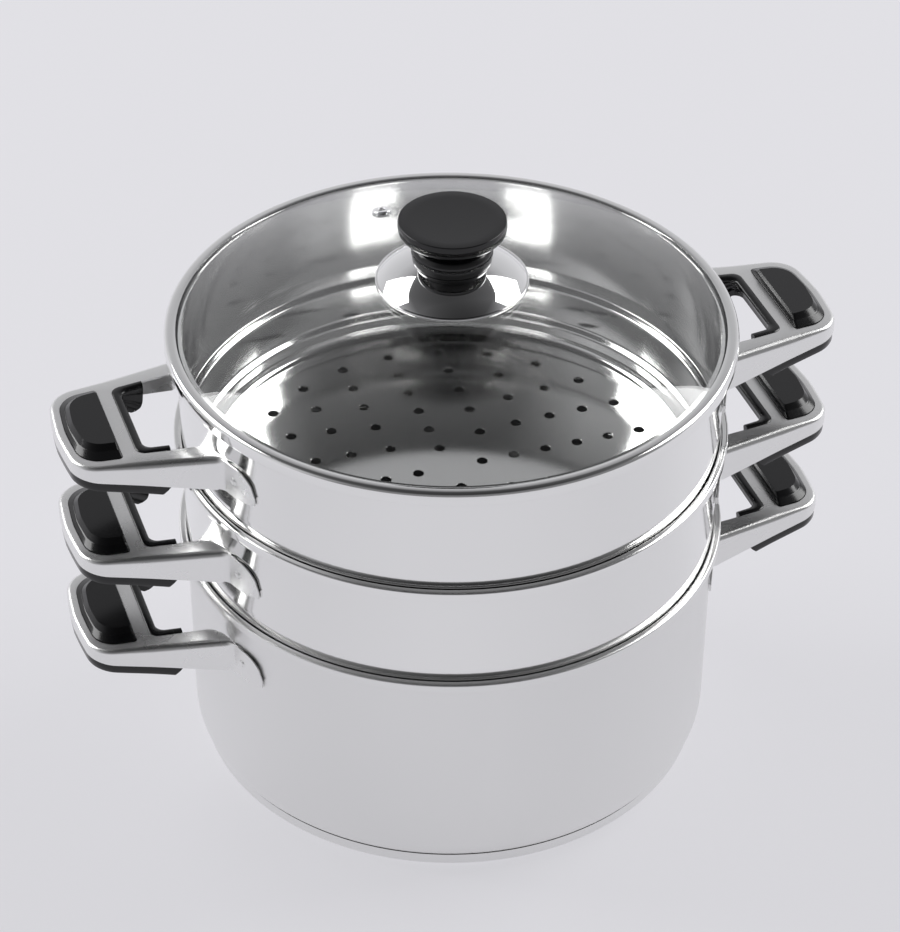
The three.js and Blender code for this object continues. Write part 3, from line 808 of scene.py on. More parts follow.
def lid_band(sizes):
    """The band: over the glass's edge, under it, across the rim's top and down outside the rim."""
    rim = rim_heights(sizes)[2]
    edge = glass_edge(sizes)
    skirt = wall_radius(sizes) + RIM_REACH + BAND_GAP
    outer = skirt + sizes.sheet
    foot = rim - BAND_SKIRT
    crown = rim + BAND_CROWN
    seat = rim + FIT
    lip = edge - BAND_LIP
    lip_foot = dome_height(sizes, lip, 0) + FIT / 2
    bevel_foot = edge - GLASS_BEVEL + FIT
    bevel_low = dome_height(sizes, edge - GLASS_BEVEL, GLASS_THICKNESS) - FIT
    fold = bevel_foot - BAND_FOLD
    fold_top = dome_height(sizes, fold, GLASS_THICKNESS) - FIT
    slant = BAND_HOOK * math.sqrt(0.5)
    hook = bevel_low - slant
    return turned([
        (skirt, foot, SHEET_ROUND), (outer, foot, BAND_FOOT_ROUND),
        (outer, crown, BAND_SHOULDER), (lip + BAND_CREST, crown, BAND_CREST_ROUND),
        (lip, lip_foot, 0), (edge + FIT, lip_foot, 0),
        (edge + FIT, dome_height(sizes, edge, 0) - GLASS_EDGE - FIT / 2, 0),
        (bevel_foot, bevel_low, 0), (fold, fold_top, 0), (fold, fold_top - BAND_HOOK, 0),
        (bevel_foot + slant, hook, 0), (bevel_foot + slant + seat - hook, seat, 0),
        (skirt, seat, BAND_SEAT_ROUND),
    ])


def vent_eyelet(sizes):
    """The vent's eyelet, which lies square to the dome."""
    half = GLASS_THICKNESS / 2 + FIT / 2
    face = half + VENT_SHEET
    bm = turned([
        (VENT_BORE, -face, SHEET_ROUND), (VENT_FLANGE, -face, VENT_FOOT_ROUND),
        (VENT_FLANGE, -half, VENT_INNER_ROUND), (VENT_SLEEVE, -half, 0), (VENT_SLEEVE, half, 0),
        (VENT_FLANGE, half, VENT_INNER_ROUND), (VENT_FLANGE - VENT_DRAW, face, VENT_ROUND),
        (VENT_BORE, face, VENT_ROUND),
    ], SMALL_STEPS)
    place = (VENT_PLACE, 0, dome_height(sizes, VENT_PLACE, GLASS_THICKNESS / 2))
    return stood(bm, VENT_ANGLE, place, math.asin(VENT_PLACE / glass_sphere(sizes)))


def escutcheon_foot(sizes):
    return dome_height(sizes, ESCUTCHEON_RADIUS, 0) + FIT


def dish_height(sizes, radius):
    """Height of the escutcheon's dome at a radius."""
    share = 1 - (radius / ESCUTCHEON_REACH) ** 2
    rise = ESCUTCHEON_RISE - ESCUTCHEON_EDGE
    return escutcheon_foot(sizes) + ESCUTCHEON_EDGE + rise * share**DOME_FULLNESS


def escutcheon(sizes):
    """The dish under the knob: a rolled edge and a dome that flattens towards the knob."""
    foot = escutcheon_foot(sizes)
    dome, under = [], []
    for turn in quarter_turns(DOME_STEPS):
        radius = between(ESCUTCHEON_REACH, SCREW_BORE, math.sin(turn))
        height = dish_height(sizes, radius)
        dome.append((radius, height, 0))
        under.append((radius, height - ESCUTCHEON_SHEET, 0))
    return turned([
        (ESCUTCHEON_RADIUS, foot, ESCUTCHEON_FOOT_ROUND),
        (ESCUTCHEON_RADIUS, foot + ESCUTCHEON_EDGE, ESCUTCHEON_ROUND),
        *dome, *reversed(under[1:]), (ESCUTCHEON_REACH - ESCUTCHEON_SHEET, foot, 0),
    ], KNOB_STEPS)


def knob_foot(sizes):
    return escutcheon_foot(sizes) + ESCUTCHEON_RISE + FIT


def knob(sizes):
    """The knob: a foot on the dish, a waist, and a bulging head with a dished top."""
    foot = knob_foot(sizes)
    top = foot + KNOB_HEIGHT
    bore_top = foot + SCREW_REACH + FIT
    head = top - KNOB_HEAD
    waist = head - KNOB_UNDERSIDE
    radius = sizes.knob_radius
    edge = KNOB_FOOT_RADIUS - KNOB_FOOT_TAPER
    return turned([
        (SCREW_BORE, foot, 0), (SCREW_BORE + KNOB_FACE, foot, 0),
        (edge, dish_height(sizes, edge) + FIT, KNOB_FOOT_ROUND),
        (KNOB_FOOT_RADIUS, foot + KNOB_FOOT, KNOB_SHOULDER),
        (KNOB_WAIST, waist - KNOB_NECK, KNOB_NECK_ROUND), (KNOB_WAIST, waist, KNOB_UNDER_ROUND),
        (radius - KNOB_TAPER, head, KNOB_TAPER_ROUND),
        (radius, head + KNOB_BULGE, KNOB_BULGE_ROUND),
        (radius - KNOB_TOP_DRAW, top, KNOB_TOP_ROUND),
        (radius - KNOB_DISH_EDGE, top - KNOB_DISH_START, 0), (0, top - KNOB_DISH, 0),
        (0, bore_top, 0), (SCREW_BORE, bore_top, 0),
    ], KNOB_STEPS)


def recessed_screw(head_radius, head, radius, foot, tip):
    """A screw that stands head down, with a round recess in its head."""
    recess = foot + head * RECESS_DEPTH_SHARE
    return turned([
        (0, recess, 0), (radius * RECESS_FLOOR_SHARE, recess, 0),
        (radius * RECESS_MOUTH_SHARE, foot + head * RECESS_LIP_SHARE, HEAD_EDGE_ROUND),
        (head_radius * HEAD_CROWN_SHARE, foot, HEAD_ROUND),
        (head_radius, foot + head * HEAD_RISE_SHARE, HEAD_ROUND),
        (head_radius, foot + head, HEAD_EDGE_ROUND), (radius, foot + head, 0),
        (radius, tip - SCREW_POINT, 0), (radius * SCREW_POINT_SHARE, tip, 0), (0, tip, 0),
    ], SMALL_STEPS)


def gasket_top(sizes):
    return dome_height(sizes, WASHER_RADIUS, GLASS_THICKNESS) - FIT


def knob_screw(sizes):
    foot = gasket_top(sizes) - GASKET - WASHER - FIT - SCREW_HEAD
    tip = knob_foot(sizes) + SCREW_REACH
    return recessed_screw(SCREW_HEAD_RADIUS, SCREW_HEAD, SCREW_RADIUS, foot, tip)


def flat_ring(top, thickness, rounding):
    """A ring round the knob's screw, which hangs down from a height."""
    foot = top - thickness
    return turned([
        (SCREW_BORE, foot, 0), (WASHER_RADIUS, foot, rounding), (WASHER_RADIUS, top, rounding),
        (SCREW_BORE, top, 0),
    ], RING_STEPS)


# Handles


def skirt_depth(x):
    """Depth of the shell's skirt at a distance from the pot's axis."""
    if x > OPENING_END:
        share = (x - OPENING_END) / (SHELL_NOSE - OPENING_END)
        return between(SKIRT_AT_BAR, SKIRT_AT_NOSE, share)
    return between(SKIRT_AT_BAR, SKIRT_AT_WALL, (OPENING_END - x) / (OPENING_END - SKIRT_START))


def side_slope(sizes):
    """How much the handle's side runs out for each step towards the wall."""
    return (ROOT_HALF - NOSE_HALF) / (SHELL_NOSE - wall_radius(sizes))


def flange_face(sizes):
    """Radius of the flanges' outer face."""
    return wall_radius(sizes) + FIT + SHELL_SHEET


def nose_half(sizes, inset, start):
    """Half of the shell's outline, drawn in by an inset, from the nose to a start at the arm."""
    half = NOSE_HALF + side_slope(sizes) * (SHELL_NOSE - start) - inset
    root = Vector((start, half))
    turn = bowed_end(
        (SHELL_NOSE - inset, 0), (SHELL_NOSE - NOSE_BULGE - inset, NOSE_HALF - inset), root,
        SHELL_CORNER - inset, NOSE_BOW,
    )
    return turn + bowed(turn[-1], root, 0)[1:] + [root]


def opening_half(sizes, inset, start, undercut=0):
    """Half of the finger opening's outline from the middle of its end to a start at the arm.

    An undercut moves its end out under the bar.
    """
    slope = (OPENING_ROOT_HALF - OPENING_HALF) / (OPENING_END - wall_radius(sizes))
    root = Vector((start, OPENING_HALF + slope * (OPENING_END - start) - inset))
    end = OPENING_END - inset + undercut
    return [Vector((end, 0))] + fillet(
        (end, 0), (end, OPENING_HALF - inset), root, OPENING_CORNER, OPENING_STEPS
    ) + [root]


def window_outline(bar, sides, nose):
    """The window for the pad, drawn in at its side by the bar, its long sides and its nose."""
    end = WINDOW_END - nose
    start = WINDOW_START + bar
    side = (start, WINDOW_HALF - sides)
    turn = bowed_end(
        (end, 0), (end - WINDOW_BULGE, WINDOW_NOSE_HALF - sides), side,
        WINDOW_NOSE_CORNER - nose / 2, WINDOW_BOW,
    )
    rounding = WINDOW_CORNER - bar / 2
    return whole(turn + fillet(turn[-1], side, (start, 0), rounding, WINDOW_STEPS))


def flange_path(sizes):
    """Flat points round the bend at the arm's end, and then along the wall to the tip."""
    wall = flange_face(sizes)
    slope = side_slope(sizes)
    out = Vector((slope, 1)).normalized()
    along = Vector((1, -slope)).normalized()
    offset = Vector((wall_radius(sizes), ROOT_HALF)).dot(out) + FLANGE_BEND
    centre = out * offset + along * math.sqrt((wall + FLANGE_BEND) ** 2 - offset**2)
    start = -out * FLANGE_BEND
    end = -centre.normalized() * FLANGE_BEND
    bend = [
        centre + start.slerp(end, i / BEND_STEPS) * FLANGE_BEND for i in range(BEND_STEPS + 1)
    ]
    touch = math.atan2(centre.y, centre.x)
    turns = [
        between(touch, FLANGE_TIP_ANGLE, i / FLANGE_STEPS) for i in range(1, FLANGE_STEPS + 1)
    ]
    return bend, [direction(turn) * wall for turn in turns]


def flange_edges(sizes, y):
    """Heights of the flange's top and bottom edges at a distance from the centre line."""
    tip = flange_face(sizes) * math.sin(FLANGE_TIP_ANGLE)
    fall = share_of(y, FLANGE_FALL_START, tip)
    rise = share_of(y, FLANGE_RISE_START, tip)
    top = -FLANGE_TIP_TOP * (1 - math.sqrt(1 - fall**2))
    return top, between(-SKIRT_AT_WALL, -FLANGE_TIP_FOOT, rise**2)


def outward(points):
    """Directions square to a line of points, to the right of the way along it."""
    aside = []
    for i in range(len(points)):
        along = points[min(i + 1, len(points) - 1)] - points[max(i - 1, 0)]
        aside.append(Vector((along.y, -along.x)).normalized())
    return aside


def shell_rows(sizes):
    """Rows of points from the plate's edge over the shoulder to the skirt's foot.

    Also how many points of a row the plate reaches from the middle of the nose.
    """
    bend, flange = flange_path(sizes)
    side = nose_half(sizes, 0, bend[0].x)
    half = side + bend[1:] + flange
    reached = len(side) + len(bend) // 2
    shares = [share_of(i, len(side), len(side) + len(bend) - 1) for i in range(len(half))]
    normals = outward(half)
    normals[0] = Vector((1, 0))
    rows = []
    for turn in quarter_turns(SHOULDER_STEPS):
        row = []
        for point, normal, share in zip(half, normals, shares):
            radius = shoulder_radius(point.x, share)
            place = point - normal * radius * (1 - math.sin(turn))
            top = flange_edges(sizes, point.y)[0] if share == 1 else 0
            row.append((place, top - radius * (1 - math.cos(turn))))
        rows.append(row)
    feet = [
        flange_edges(sizes, point.y)[1] if share else -skirt_depth(point.x)
        for point, share in zip(half, shares)
    ]
    rows.append(list(zip(half, feet)))
    return rows, reached


def shoulder_radius(x, bend):
    """Radius of the shell's shoulder at a distance from the axis and a share of the wall bend."""
    radius = between(SHOULDER, SHOULDER_AT_ARM, share_of(x, ARM_START, OPENING_END))
    return between(radius, SHOULDER_AT_WALL, bend)


def both_arms(row):
    """A row of points on both sides of the handle, from flange tip to flange tip."""
    other = [Vector((place.x, -place.y, height)) for place, height in row[:0:-1]]
    return other + [Vector((place.x, place.y, height)) for place, height in row]


def plate_lip(sizes, tip):
    """Half of the plate's inner edge: round the opening, then curving out along the wall."""
    lip = opening_half(sizes, 0, LIP_TURN)
    wall = wall_radius(sizes) + FIT + LIP_CLEARANCE
    pull = Vector((math.sqrt(wall**2 - lip[-1].y ** 2), lip[-1].y))
    curve = []
    for i in range(1, LIP_STEPS):
        share = i / LIP_STEPS
        curve.append(
            lip[-1] * (1 - share) ** 2 + pull * 2 * share * (1 - share) + tip * share**2
        )
    return lip + curve


def handle_shell(sizes):
    """The stamped shell as one sheet: plate, shoulder, skirt and both flanges."""
    bm = bmesh.new()
    rows, reached = shell_rows(sizes)
    verts = [bm.verts.new(point) for point in both_arms(rows[0])]
    edges = chain_of(bm, verts)
    middle = len(rows[0]) - 1
    first, last = middle - reached + 1, middle + reached - 1
    lip = whole(plate_lip(sizes, verts[last].co.to_2d()))
    inner = [bm.verts.new(point) for point in at_height(lip, 0)]
    lip_edges = chain_of(bm, [verts[first], *inner, verts[last]])
    _, window = loop_of(bm, at_height(window_outline(0, 0, 0), 0))
    fill(bm, edges[first:last] + lip_edges + window)
    for row in rows[1:]:
        verts, edges = grow(bm, verts, edges, both_arms(row))
    bmesh.ops.recalc_face_normals(bm, faces=bm.faces[:])
    if sum(face.normal.z * face.calc_area() for face in bm.faces) < 0:
        bmesh.ops.reverse_faces(bm, faces=bm.faces[:])
    bmesh.ops.solidify(bm, geom=bm.faces[:], thickness=SHELL_SHEET)
    marks = [weld_mark(sizes, angle) for angle in (WELD_MARK_ANGLE, -WELD_MARK_ANGLE)]
    return joined(bm, *marks)


def weld_mark(sizes, angle):
    """The small round mark that the weld leaves on a flange."""
    profile = [
        (WELD_MARK_RADIUS * out, WELD_MARK_RISE * up, 0) for out, up in WELD_MARK_SHARES
    ]
    place = (flange_face(sizes), 0, -WELD_MARK_DROP)
    return stood(turned(profile, SMALL_STEPS), angle, place, math.pi / 2)


def grip_underside(x):
    return -skirt_depth(x) - GRIP_BAND


def round_opening(outer, inner):
    """A closed outline that runs round the outside of a grip and back round its opening."""
    return whole(outer) + inner[::-1] + mirrored(inner)[1:]


def on_finger_wall(point):
    return point.x < OPENING_END and abs(point.y) < OPENING_ROOT_HALF


def grip_level(point, height):
    """A height on the grip, which is hollow under the bar, so that its finger wall ends higher."""
    level = height(point)
    if on_finger_wall(point):
        level *= between(1, HOLLOW_SHARE, share_of(point.x, HOLLOW_START, HOLLOW_FULL))
    return level


def leaning(points, height):
    """Points at heights, with the arm ends rounded away from the wall towards the underside."""
    deepest = -grip_underside(GRIP_ROOT)
    placed = []
    for point in points:
        near_end = share_of(point.x, ARM_END_FADE, GRIP_ROOT)
        deep = max(0, -grip_level(point, height)) / deepest
        draw = ARM_END_DRAW * near_end * deep**ARM_END_CURVE
        moved = Vector((point.x + draw, point.y * (1 - draw / ARMS_MEET)))
        placed.append(Vector((moved.x, moved.y, grip_level(moved, height))))
    return placed


def finger_wall(sizes, share):
    """The finger wall's outline at a share of its depth: shallow ribs, and an undercut bar."""
    wave = math.sin(math.pi * FINGER_RIBS * share) ** 2
    undercut = BAR_UNDERCUT * (1 - max(0, 1 - share) ** UNDERCUT_CURVE)
    return opening_half(sizes, LINING - FINGER_RIB_DEPTH * wave, GRIP_ROOT, undercut)


def grip_body(sizes):
    """The moulded body: inside the skirt above, and flush with it in the band below."""
    rows = []

    def add_row(inset, height):
        share = height(Vector((OPENING_END, 0))) / grip_underside(OPENING_END)
        wall = finger_wall(sizes, share)
        outline = round_opening(nose_half(sizes, inset, GRIP_ROOT), wall)
        rows.append(leaning(outline, height))

    hidden = SHELL_SHEET + SKIRT_GAP
    for step in range(BODY_STEPS + 1):
        share = step / BODY_STEPS
        add_row(hidden, lambda point, share=share: (
            -(SHELL_SHEET + FIT) * (1 - share) - (skirt_depth(point.x) + SKIRT_GAP) * share
        ))

    def under(lift):
        return lambda point: grip_underside(point.x) + lift

    for lift in (GRIP_BAND - SKIRT_GAP, GRIP_BAND * BAND_MIDDLE_SHARE, BAND_ROUND):
        add_row(BAND_INSET, under(lift))
    add_row(BAND_INSET + BAND_ROUND * BAND_ROUND_SHARE, under(BAND_ROUND * BAND_ROUND_SHARE))
    add_row(BAND_INSET + BAND_ROUND, under(0))
    return lofted(rows, screw_hollow())


def hollow_foot():
    """Height of the hollow underside at the bar."""
    return grip_underside(OPENING_END) * HOLLOW_SHARE


def screw_hollow():
    """Loops of the hollow for the screw's head, from the hollow underside up."""
    centre = Vector((BAR_MIDDLE, 0))
    radius = GRIP_SCREW_HEAD_RADIUS + FIT
    circle = [
        centre + direction(math.tau * i / SMALL_STEPS) * radius for i in range(SMALL_STEPS)
    ]
    return [at_height(circle, hollow_foot() + depth) for depth in (0, GRIP_SCREW_RECESS)]


def finger_bead(sizes):
    """The bead that lines the finger opening, between the plate's edge and the inner wall."""
    loops = []
    for step in range(BEAD_STEPS + 1):
        turn = math.pi / 2 * max(0, step - 1) / BEAD_STEPS
        level = (BEAD_HEIGHT + BEAD_FALL) * math.sin(turn) - BEAD_FALL
        if not step:
            level -= BEAD_ROOT
        climb = max(0, level - BEAD_FOOT) / (BEAD_HEIGHT - BEAD_FOOT)
        near = BEAD_CREST * (1 - math.sqrt(1 - climb**2))
        far = BEAD_CREST + (LINING - BEAD_CREST) * math.cos(turn)
        outer = opening_half(sizes, LINING_GAP + near, GRIP_ROOT)
        inner = opening_half(sizes, LINING_GAP + far, GRIP_ROOT)
        strip = round_opening(outer, inner)
        loops.append(leaning(strip, lambda point, level=level: level))
    return lofted(loops)


def pad_row(inset, level, further=0):
    """A row of the pad at a level, drawn in from the window by an inset and further all round."""
    bar, sides, nose = (side + further for side in inset)
    return at_height(window_outline(bar, sides, nose), level)


def pad_slant(low_inset, low, high_inset, high):
    """Rows of a slanted side, with close ones along both of its edges to keep them crisp."""
    return [
        pad_row(low_inset.lerp(high_inset, share), between(low, high, share))
        for share in PAD_SLANT_SHARES
    ]


def grip_pad():
    """The pad that fills the window: it slants in to a fine ledge, and again up to its top."""
    foot = Vector((PAD_GAP, PAD_GAP, PAD_GAP))
    ledge = PAD_STEP_INSET + Vector((PAD_LEDGE, PAD_LEDGE, PAD_LEDGE))
    return lofted([
        pad_row(foot, -PAD_ROOT), *pad_slant(foot, PAD_EDGE, PAD_STEP_INSET, PAD_STEP),
        *pad_slant(ledge, PAD_STEP + PAD_EDGE / 4, PAD_TOP_INSET, PAD_HEIGHT),
        pad_row(PAD_TOP_INSET, PAD_HEIGHT, PAD_LEDGE),
    ])


def handle_grip(sizes):
    return joined(grip_body(sizes), finger_bead(sizes), grip_pad())


def grip_screw(sizes):
    foot = hollow_foot() + GRIP_SCREW_RECESS - FIT - GRIP_SCREW_HEAD
    tip = -SHELL_SHEET - FIT - NUT_HEIGHT / 3
    bm = recessed_screw(
        GRIP_SCREW_HEAD_RADIUS, GRIP_SCREW_HEAD, GRIP_SCREW_RADIUS, foot, tip
    )
    bmesh.ops.translate(bm, verts=bm.verts[:], vec=(BAR_MIDDLE, 0, 0))
    return bm


# Materials


def node_at(tree, kind, values=None, **settings):
    """A new node with its settings, and the values of its inputs by name or number."""
    node = tree.nodes.new(kind)
    for key, value in settings.items():
        setattr(node, key, value)
    for key, value in (values or {}).items():
        node.inputs[key].default_value = value
    return node


def wire(tree, *joins):
    """Joins nodes. A join is a node, its output, the node that it leads to and that one's input."""
    for node, output, following, entry in joins:
        tree.links.new(node.outputs[output], following.inputs[entry])


def finish_group(name, pattern, defaults, depth, clouds, fine, **settings):
    """A group with relief from a fine noise, and a roughness that varies in clouds.

    Also its input and coordinate nodes and its fine noise, for the pattern to be wired to.
    """
    group = bpy.data.node_groups.new(name, "ShaderNodeTree")
    add_socket = group.interface.new_socket
    for key, value in zip((pattern, "Strength", "Roughness", "Variation"), defaults):
        socket = add_socket(name=key, in_out="INPUT", socket_type="NodeSocketFloat")
        socket.default_value = value
    add_socket(name="Roughness", in_out="OUTPUT", socket_type="NodeSocketFloat")
    add_socket(name="Normal", in_out="OUTPUT", socket_type="NodeSocketVector")
    given = node_at(group, "NodeGroupInput")
    result = node_at(group, "NodeGroupOutput")
    place = node_at(group, "ShaderNodeTexCoord")
    noise = node_at(group, "ShaderNodeTexNoise", fine, **settings)
    bump = node_at(group, "ShaderNodeBump", {"Distance": depth})
    cloud = node_at(group, "ShaderNodeTexNoise", clouds)
    centred = node_at(group, "ShaderNodeMath", {1: 0.5}, operation="SUBTRACT")
    spread = node_at(group, "ShaderNodeMath", operation="MULTIPLY_ADD")
    wire(
        group,
        (noise, "Fac", bump, "Height"),
        (given, "Strength", bump, "Strength"),
        (place, "Object", cloud, "Vector"),
        (cloud, "Fac", centred, 0),
        (centred, 0, spread, 0),
        (given, "Variation", spread, 1),
        (given, "Roughness", spread, 2),
        (spread, 0, result, "Roughness"),
        (bump, 0, result, "Normal"),
    )
    return group, given, place, noise


def turning_marks_group():
    """Fine rings that turning and polishing leave, from the distance to the axis and the height."""
    group, given, place, noise = finish_group(
        "Turning marks", "Spacing", (900, 0.05, 0.2, 0.05), TURNED_DEPTH,
        {"Scale": 14, "Detail": 4}, {"Detail": 3}, noise_dimensions="2D",
    )
    split = node_at(group, "ShaderNodeSeparateXYZ")
    flat = node_at(group, "ShaderNodeCombineXYZ")
    distance = node_at(group, "ShaderNodeVectorMath", operation="LENGTH")
    rings = node_at(group, "ShaderNodeCombineXYZ")
    scaled = node_at(group, "ShaderNodeVectorMath", operation="SCALE")
    wire(
        group,
        (place, "Object", split, 0),
        (split, "X", flat, "X"),
        (split, "Y", flat, "Y"),
        (flat, 0, distance, 0),
        (distance, "Value", rings, "X"),
        (split, "Z", rings, "Y"),
        (rings, 0, scaled, 0),
        (given, "Spacing", scaled, "Scale"),
        (scaled, 0, noise, "Vector"),
    )
    return group


def moulded_group():
    """Faint unevenness of a moulded or stamped surface, whose gloss varies in clouds."""
    group, given, place, noise = finish_group(
        "Moulded surface", "Scale", (900, 0.1, 0.3, 0.1), MOULDED_DEPTH,
        {"Scale": 45, "Detail": 3}, {"Detail": 2},
    )
    wire(group, (place, "Object", noise, "Vector"), (given, "Scale", noise, "Scale"))
    return group


def shader_of(name, values):
    """A new material, its node tree and its main shader, whose inputs get the values."""
    material = bpy.data.materials.new(name)
    material.use_nodes = True
    tree = material.node_tree
    shader = tree.nodes["Principled BSDF"]
    for key, value in values.items():
        shader.inputs[key].default_value = value
    return material, tree, shader


def surface(name, group, colour, metallic, values):
    """A material whose roughness and relief come from one of the shared groups."""
    _, tree, shader = shader_of(name, {"Base Color": (*colour, 1), "Metallic": metallic})
    effect = node_at(tree, "ShaderNodeGroup", node_tree=group)
    for socket, value in zip(effect.inputs, values):
        socket.default_value = value
    wire(tree, (effect, "Roughness", shader, "Roughness"), (effect, "Normal", shader, "Normal"))


class STEAMER_OT_materials(bpy.types.Operator):
    """Make the materials of the pot"""

    bl_idname = "steamer.materials"
    bl_label = "Make Materials"

    def execute(self, context):
        finishes = context.scene.steamer_finishes
        marks = turning_marks_group()
        moulded = moulded_group()
        satin = finishes.satin_roughness
        polish = finishes.polished_roughness
        # The numbers: metal, the pattern's scale and strength, the roughness and how it varies
        for name, group, colour, metallic, *values in (
            ("Satin steel", marks, finishes.satin, 1, 1400, 0.12, satin, 0.08),
            ("Stamped steel", moulded, finishes.satin, 1, 1800, 0.12, satin - STAMPED_POLISH, 0.12),
            ("Polished steel", marks, finishes.polished, 1, 900, 0.06, polish, 0.06),
            ("Chrome", marks, finishes.chrome, 1, 300, 0.01, 0.04, 0.02),
            ("Rolled aluminium", marks, ALUMINIUM, 1, 900, 0.3, 0.42, 0.1),
            ("Bakelite", moulded, finishes.bakelite, 0, 1500, 0.12, 0.18, 0.08),
            ("Seal", moulded, SEAL, 0, 700, 0.3, 0.65, 0.1),
        ):
            surface(name, group, colour, metallic, values)
        shader_of("Lid glass", {
            "Base Color": (*finishes.glass, 1), "Roughness": 0, "Transmission Weight": 1,
            "IOR": GLASS_IOR,
        })
        return {"FINISHED"}


class STEAMER_OT_pot(bpy.types.Operator):
    """Make the pot's wall and its sandwich base"""

    bl_idname = "steamer.pot"
    bl_label = "Make Pot"

    def execute(self, context):
        sizes = context.scene.steamer_sizes
        finished(pot_wall(sizes), "pot_wall", "pot_body", "Satin steel")
        finished(base_cup(sizes), "base_cup", "base_cap", "Satin steel")
        keep_node("base_core", "Rolled aluminium")
        return {"FINISHED"}


class STEAMER_OT_baskets(bpy.types.Operator):
    """Make the two perforated baskets"""

    bl_idname = "steamer.baskets"
    bl_label = "Make Baskets"

    def execute(self, context):
        sizes = context.scene.steamer_sizes
        rims = rim_heights(sizes)
        for name, seat, top in (
            ("lower_basket", rims[0], rims[1]), ("upper_basket", rims[1], rims[2]),
        ):
            bowl = basket(sizes, seat, top)
            finished(bowl, name + "_bowl", name + "_body", "Polished steel")
        return {"FINISHED"}


class STEAMER_OT_handles(bpy.types.Operator):
    """Make the side handles of each tier"""

    bl_idname = "steamer.handles"
    bl_label = "Make Handles"

    def execute(self, context):
        sizes = context.scene.steamer_sizes
        tiers = zip(("pot", "lower_basket", "upper_basket"), rim_heights(sizes))
        for tier, rim in tiers:
            for side, turn in (("right", 0), ("left", math.pi)):
                place = Matrix.Translation((0, 0, rim - PLATE_DROP)) @ Matrix.Rotation(turn, 4, "Z")
                self.make_handle(sizes, f"{tier}_{side}", place)
        return {"FINISHED"}

    @staticmethod
    def make_handle(sizes, name, place):
        parts = (
            ("shell", handle_shell, "Stamped steel"),
            ("grip", handle_grip, "Bakelite"),
            ("screw", grip_screw, "Satin steel"),
        )
        for part, make, finish in parts:
            bm = make(sizes)
            bmesh.ops.transform(bm, matrix=place, verts=bm.verts[:])
            finished(bm, f"{name}_{part}", f"{name}_handle_{part}", finish)
        keep_node(f"{name}_handle_nut", "Satin steel")


class STEAMER_OT_lid(bpy.types.Operator):
    """Make the glass lid with its band and vent"""

    bl_idname = "steamer.lid"
    bl_label = "Make Lid"

    def execute(self, context):
        sizes = context.scene.steamer_sizes
        finished(lid_dome(sizes), "lid_dome", "lid_glass", "Lid glass")
        finished(lid_band(sizes), "lid_rim", "lid_band", "Polished steel")
        finished(vent_eyelet(sizes), "vent_eyelet", "steam_vent", "Chrome")
        return {"FINISHED"}


class STEAMER_OT_knob(bpy.types.Operator):
    """Make the knob, its escutcheon and its fixing"""

    bl_idname = "steamer.knob"
    bl_label = "Make Knob"

    def execute(self, context):
        sizes = context.scene.steamer_sizes
        finished(escutcheon(sizes), "escutcheon", "knob_escutcheon", "Chrome")
        finished(knob(sizes), "knob_head", "knob", "Bakelite")
        finished(knob_screw(sizes), "lid_screw", "knob_screw", "Satin steel")
        top = gasket_top(sizes)
        gasket = flat_ring(top, GASKET, GASKET_ROUND)
        finished(gasket, "lid_gasket", "knob_gasket", "Seal")
        washer = flat_ring(top - GASKET, WASHER, SHEET_ROUND)
        finished(washer, "lid_washer", "knob_washer", "Satin steel")
        return {"FINISHED"}


# Studio


def soft_box(name, place):
    """A soft box that faces the pot."""
    lamp = bpy.data.lights.new(name, "AREA")
    lamp.shape = "RECTANGLE"
    lamp.size, lamp.size_y = LAMP_SIZE
    lamp.energy = LAMP_POWER
    obj = linked(name, lamp)
    obj.location = place
    obj.rotation_euler = (LAMP_TARGET - Vector(place)).to_track_quat("-Z", "Y").to_euler()


def add_floor(colour):
    bm = bmesh.new()
    bmesh.ops.create_circle(bm, cap_ends=True, radius=STUDIO_RADIUS, segments=STUDIO_STEPS)
    mesh = mesh_of(bm, "studio_floor")
    mesh.materials.append(floor_material(colour))
    linked("studio_floor", mesh)


def floor_material(colour):
    """A pale floor that takes the pot's shadow and shows as evenly pale in steel and glass."""
    lit, shown = ([part * share for part in colour] for share in (1 - STUDIO_SHOWN, STUDIO_SHOWN))
    material, tree, shader = shader_of("Studio floor", {
        "Base Color": (*lit, 1), "Roughness": STUDIO_ROUGHNESS, "Specular IOR Level": STUDIO_GLOSS,
        "Emission Strength": 1,
    })
    path = node_at(tree, "ShaderNodeLightPath")
    seen = node_at(tree, "ShaderNodeMath", operation="MAXIMUM")
    mirrored_too = node_at(tree, "ShaderNodeMath", operation="MAXIMUM")
    glow = node_at(
        tree, "ShaderNodeMix", {"A": (0, 0, 0, 1), "B": (*shown, 1)}, data_type="RGBA"
    )
    wire(
        tree,
        (path, "Is Camera Ray", seen, 0),
        (path, "Is Glossy Ray", seen, 1),
        (seen, 0, mirrored_too, 0),
        (path, "Is Transmission Ray", mirrored_too, 1),
        (mirrored_too, 0, glow, "Factor"),
        (glow, "Result", shader, "Emission Color"),
    )
    return material


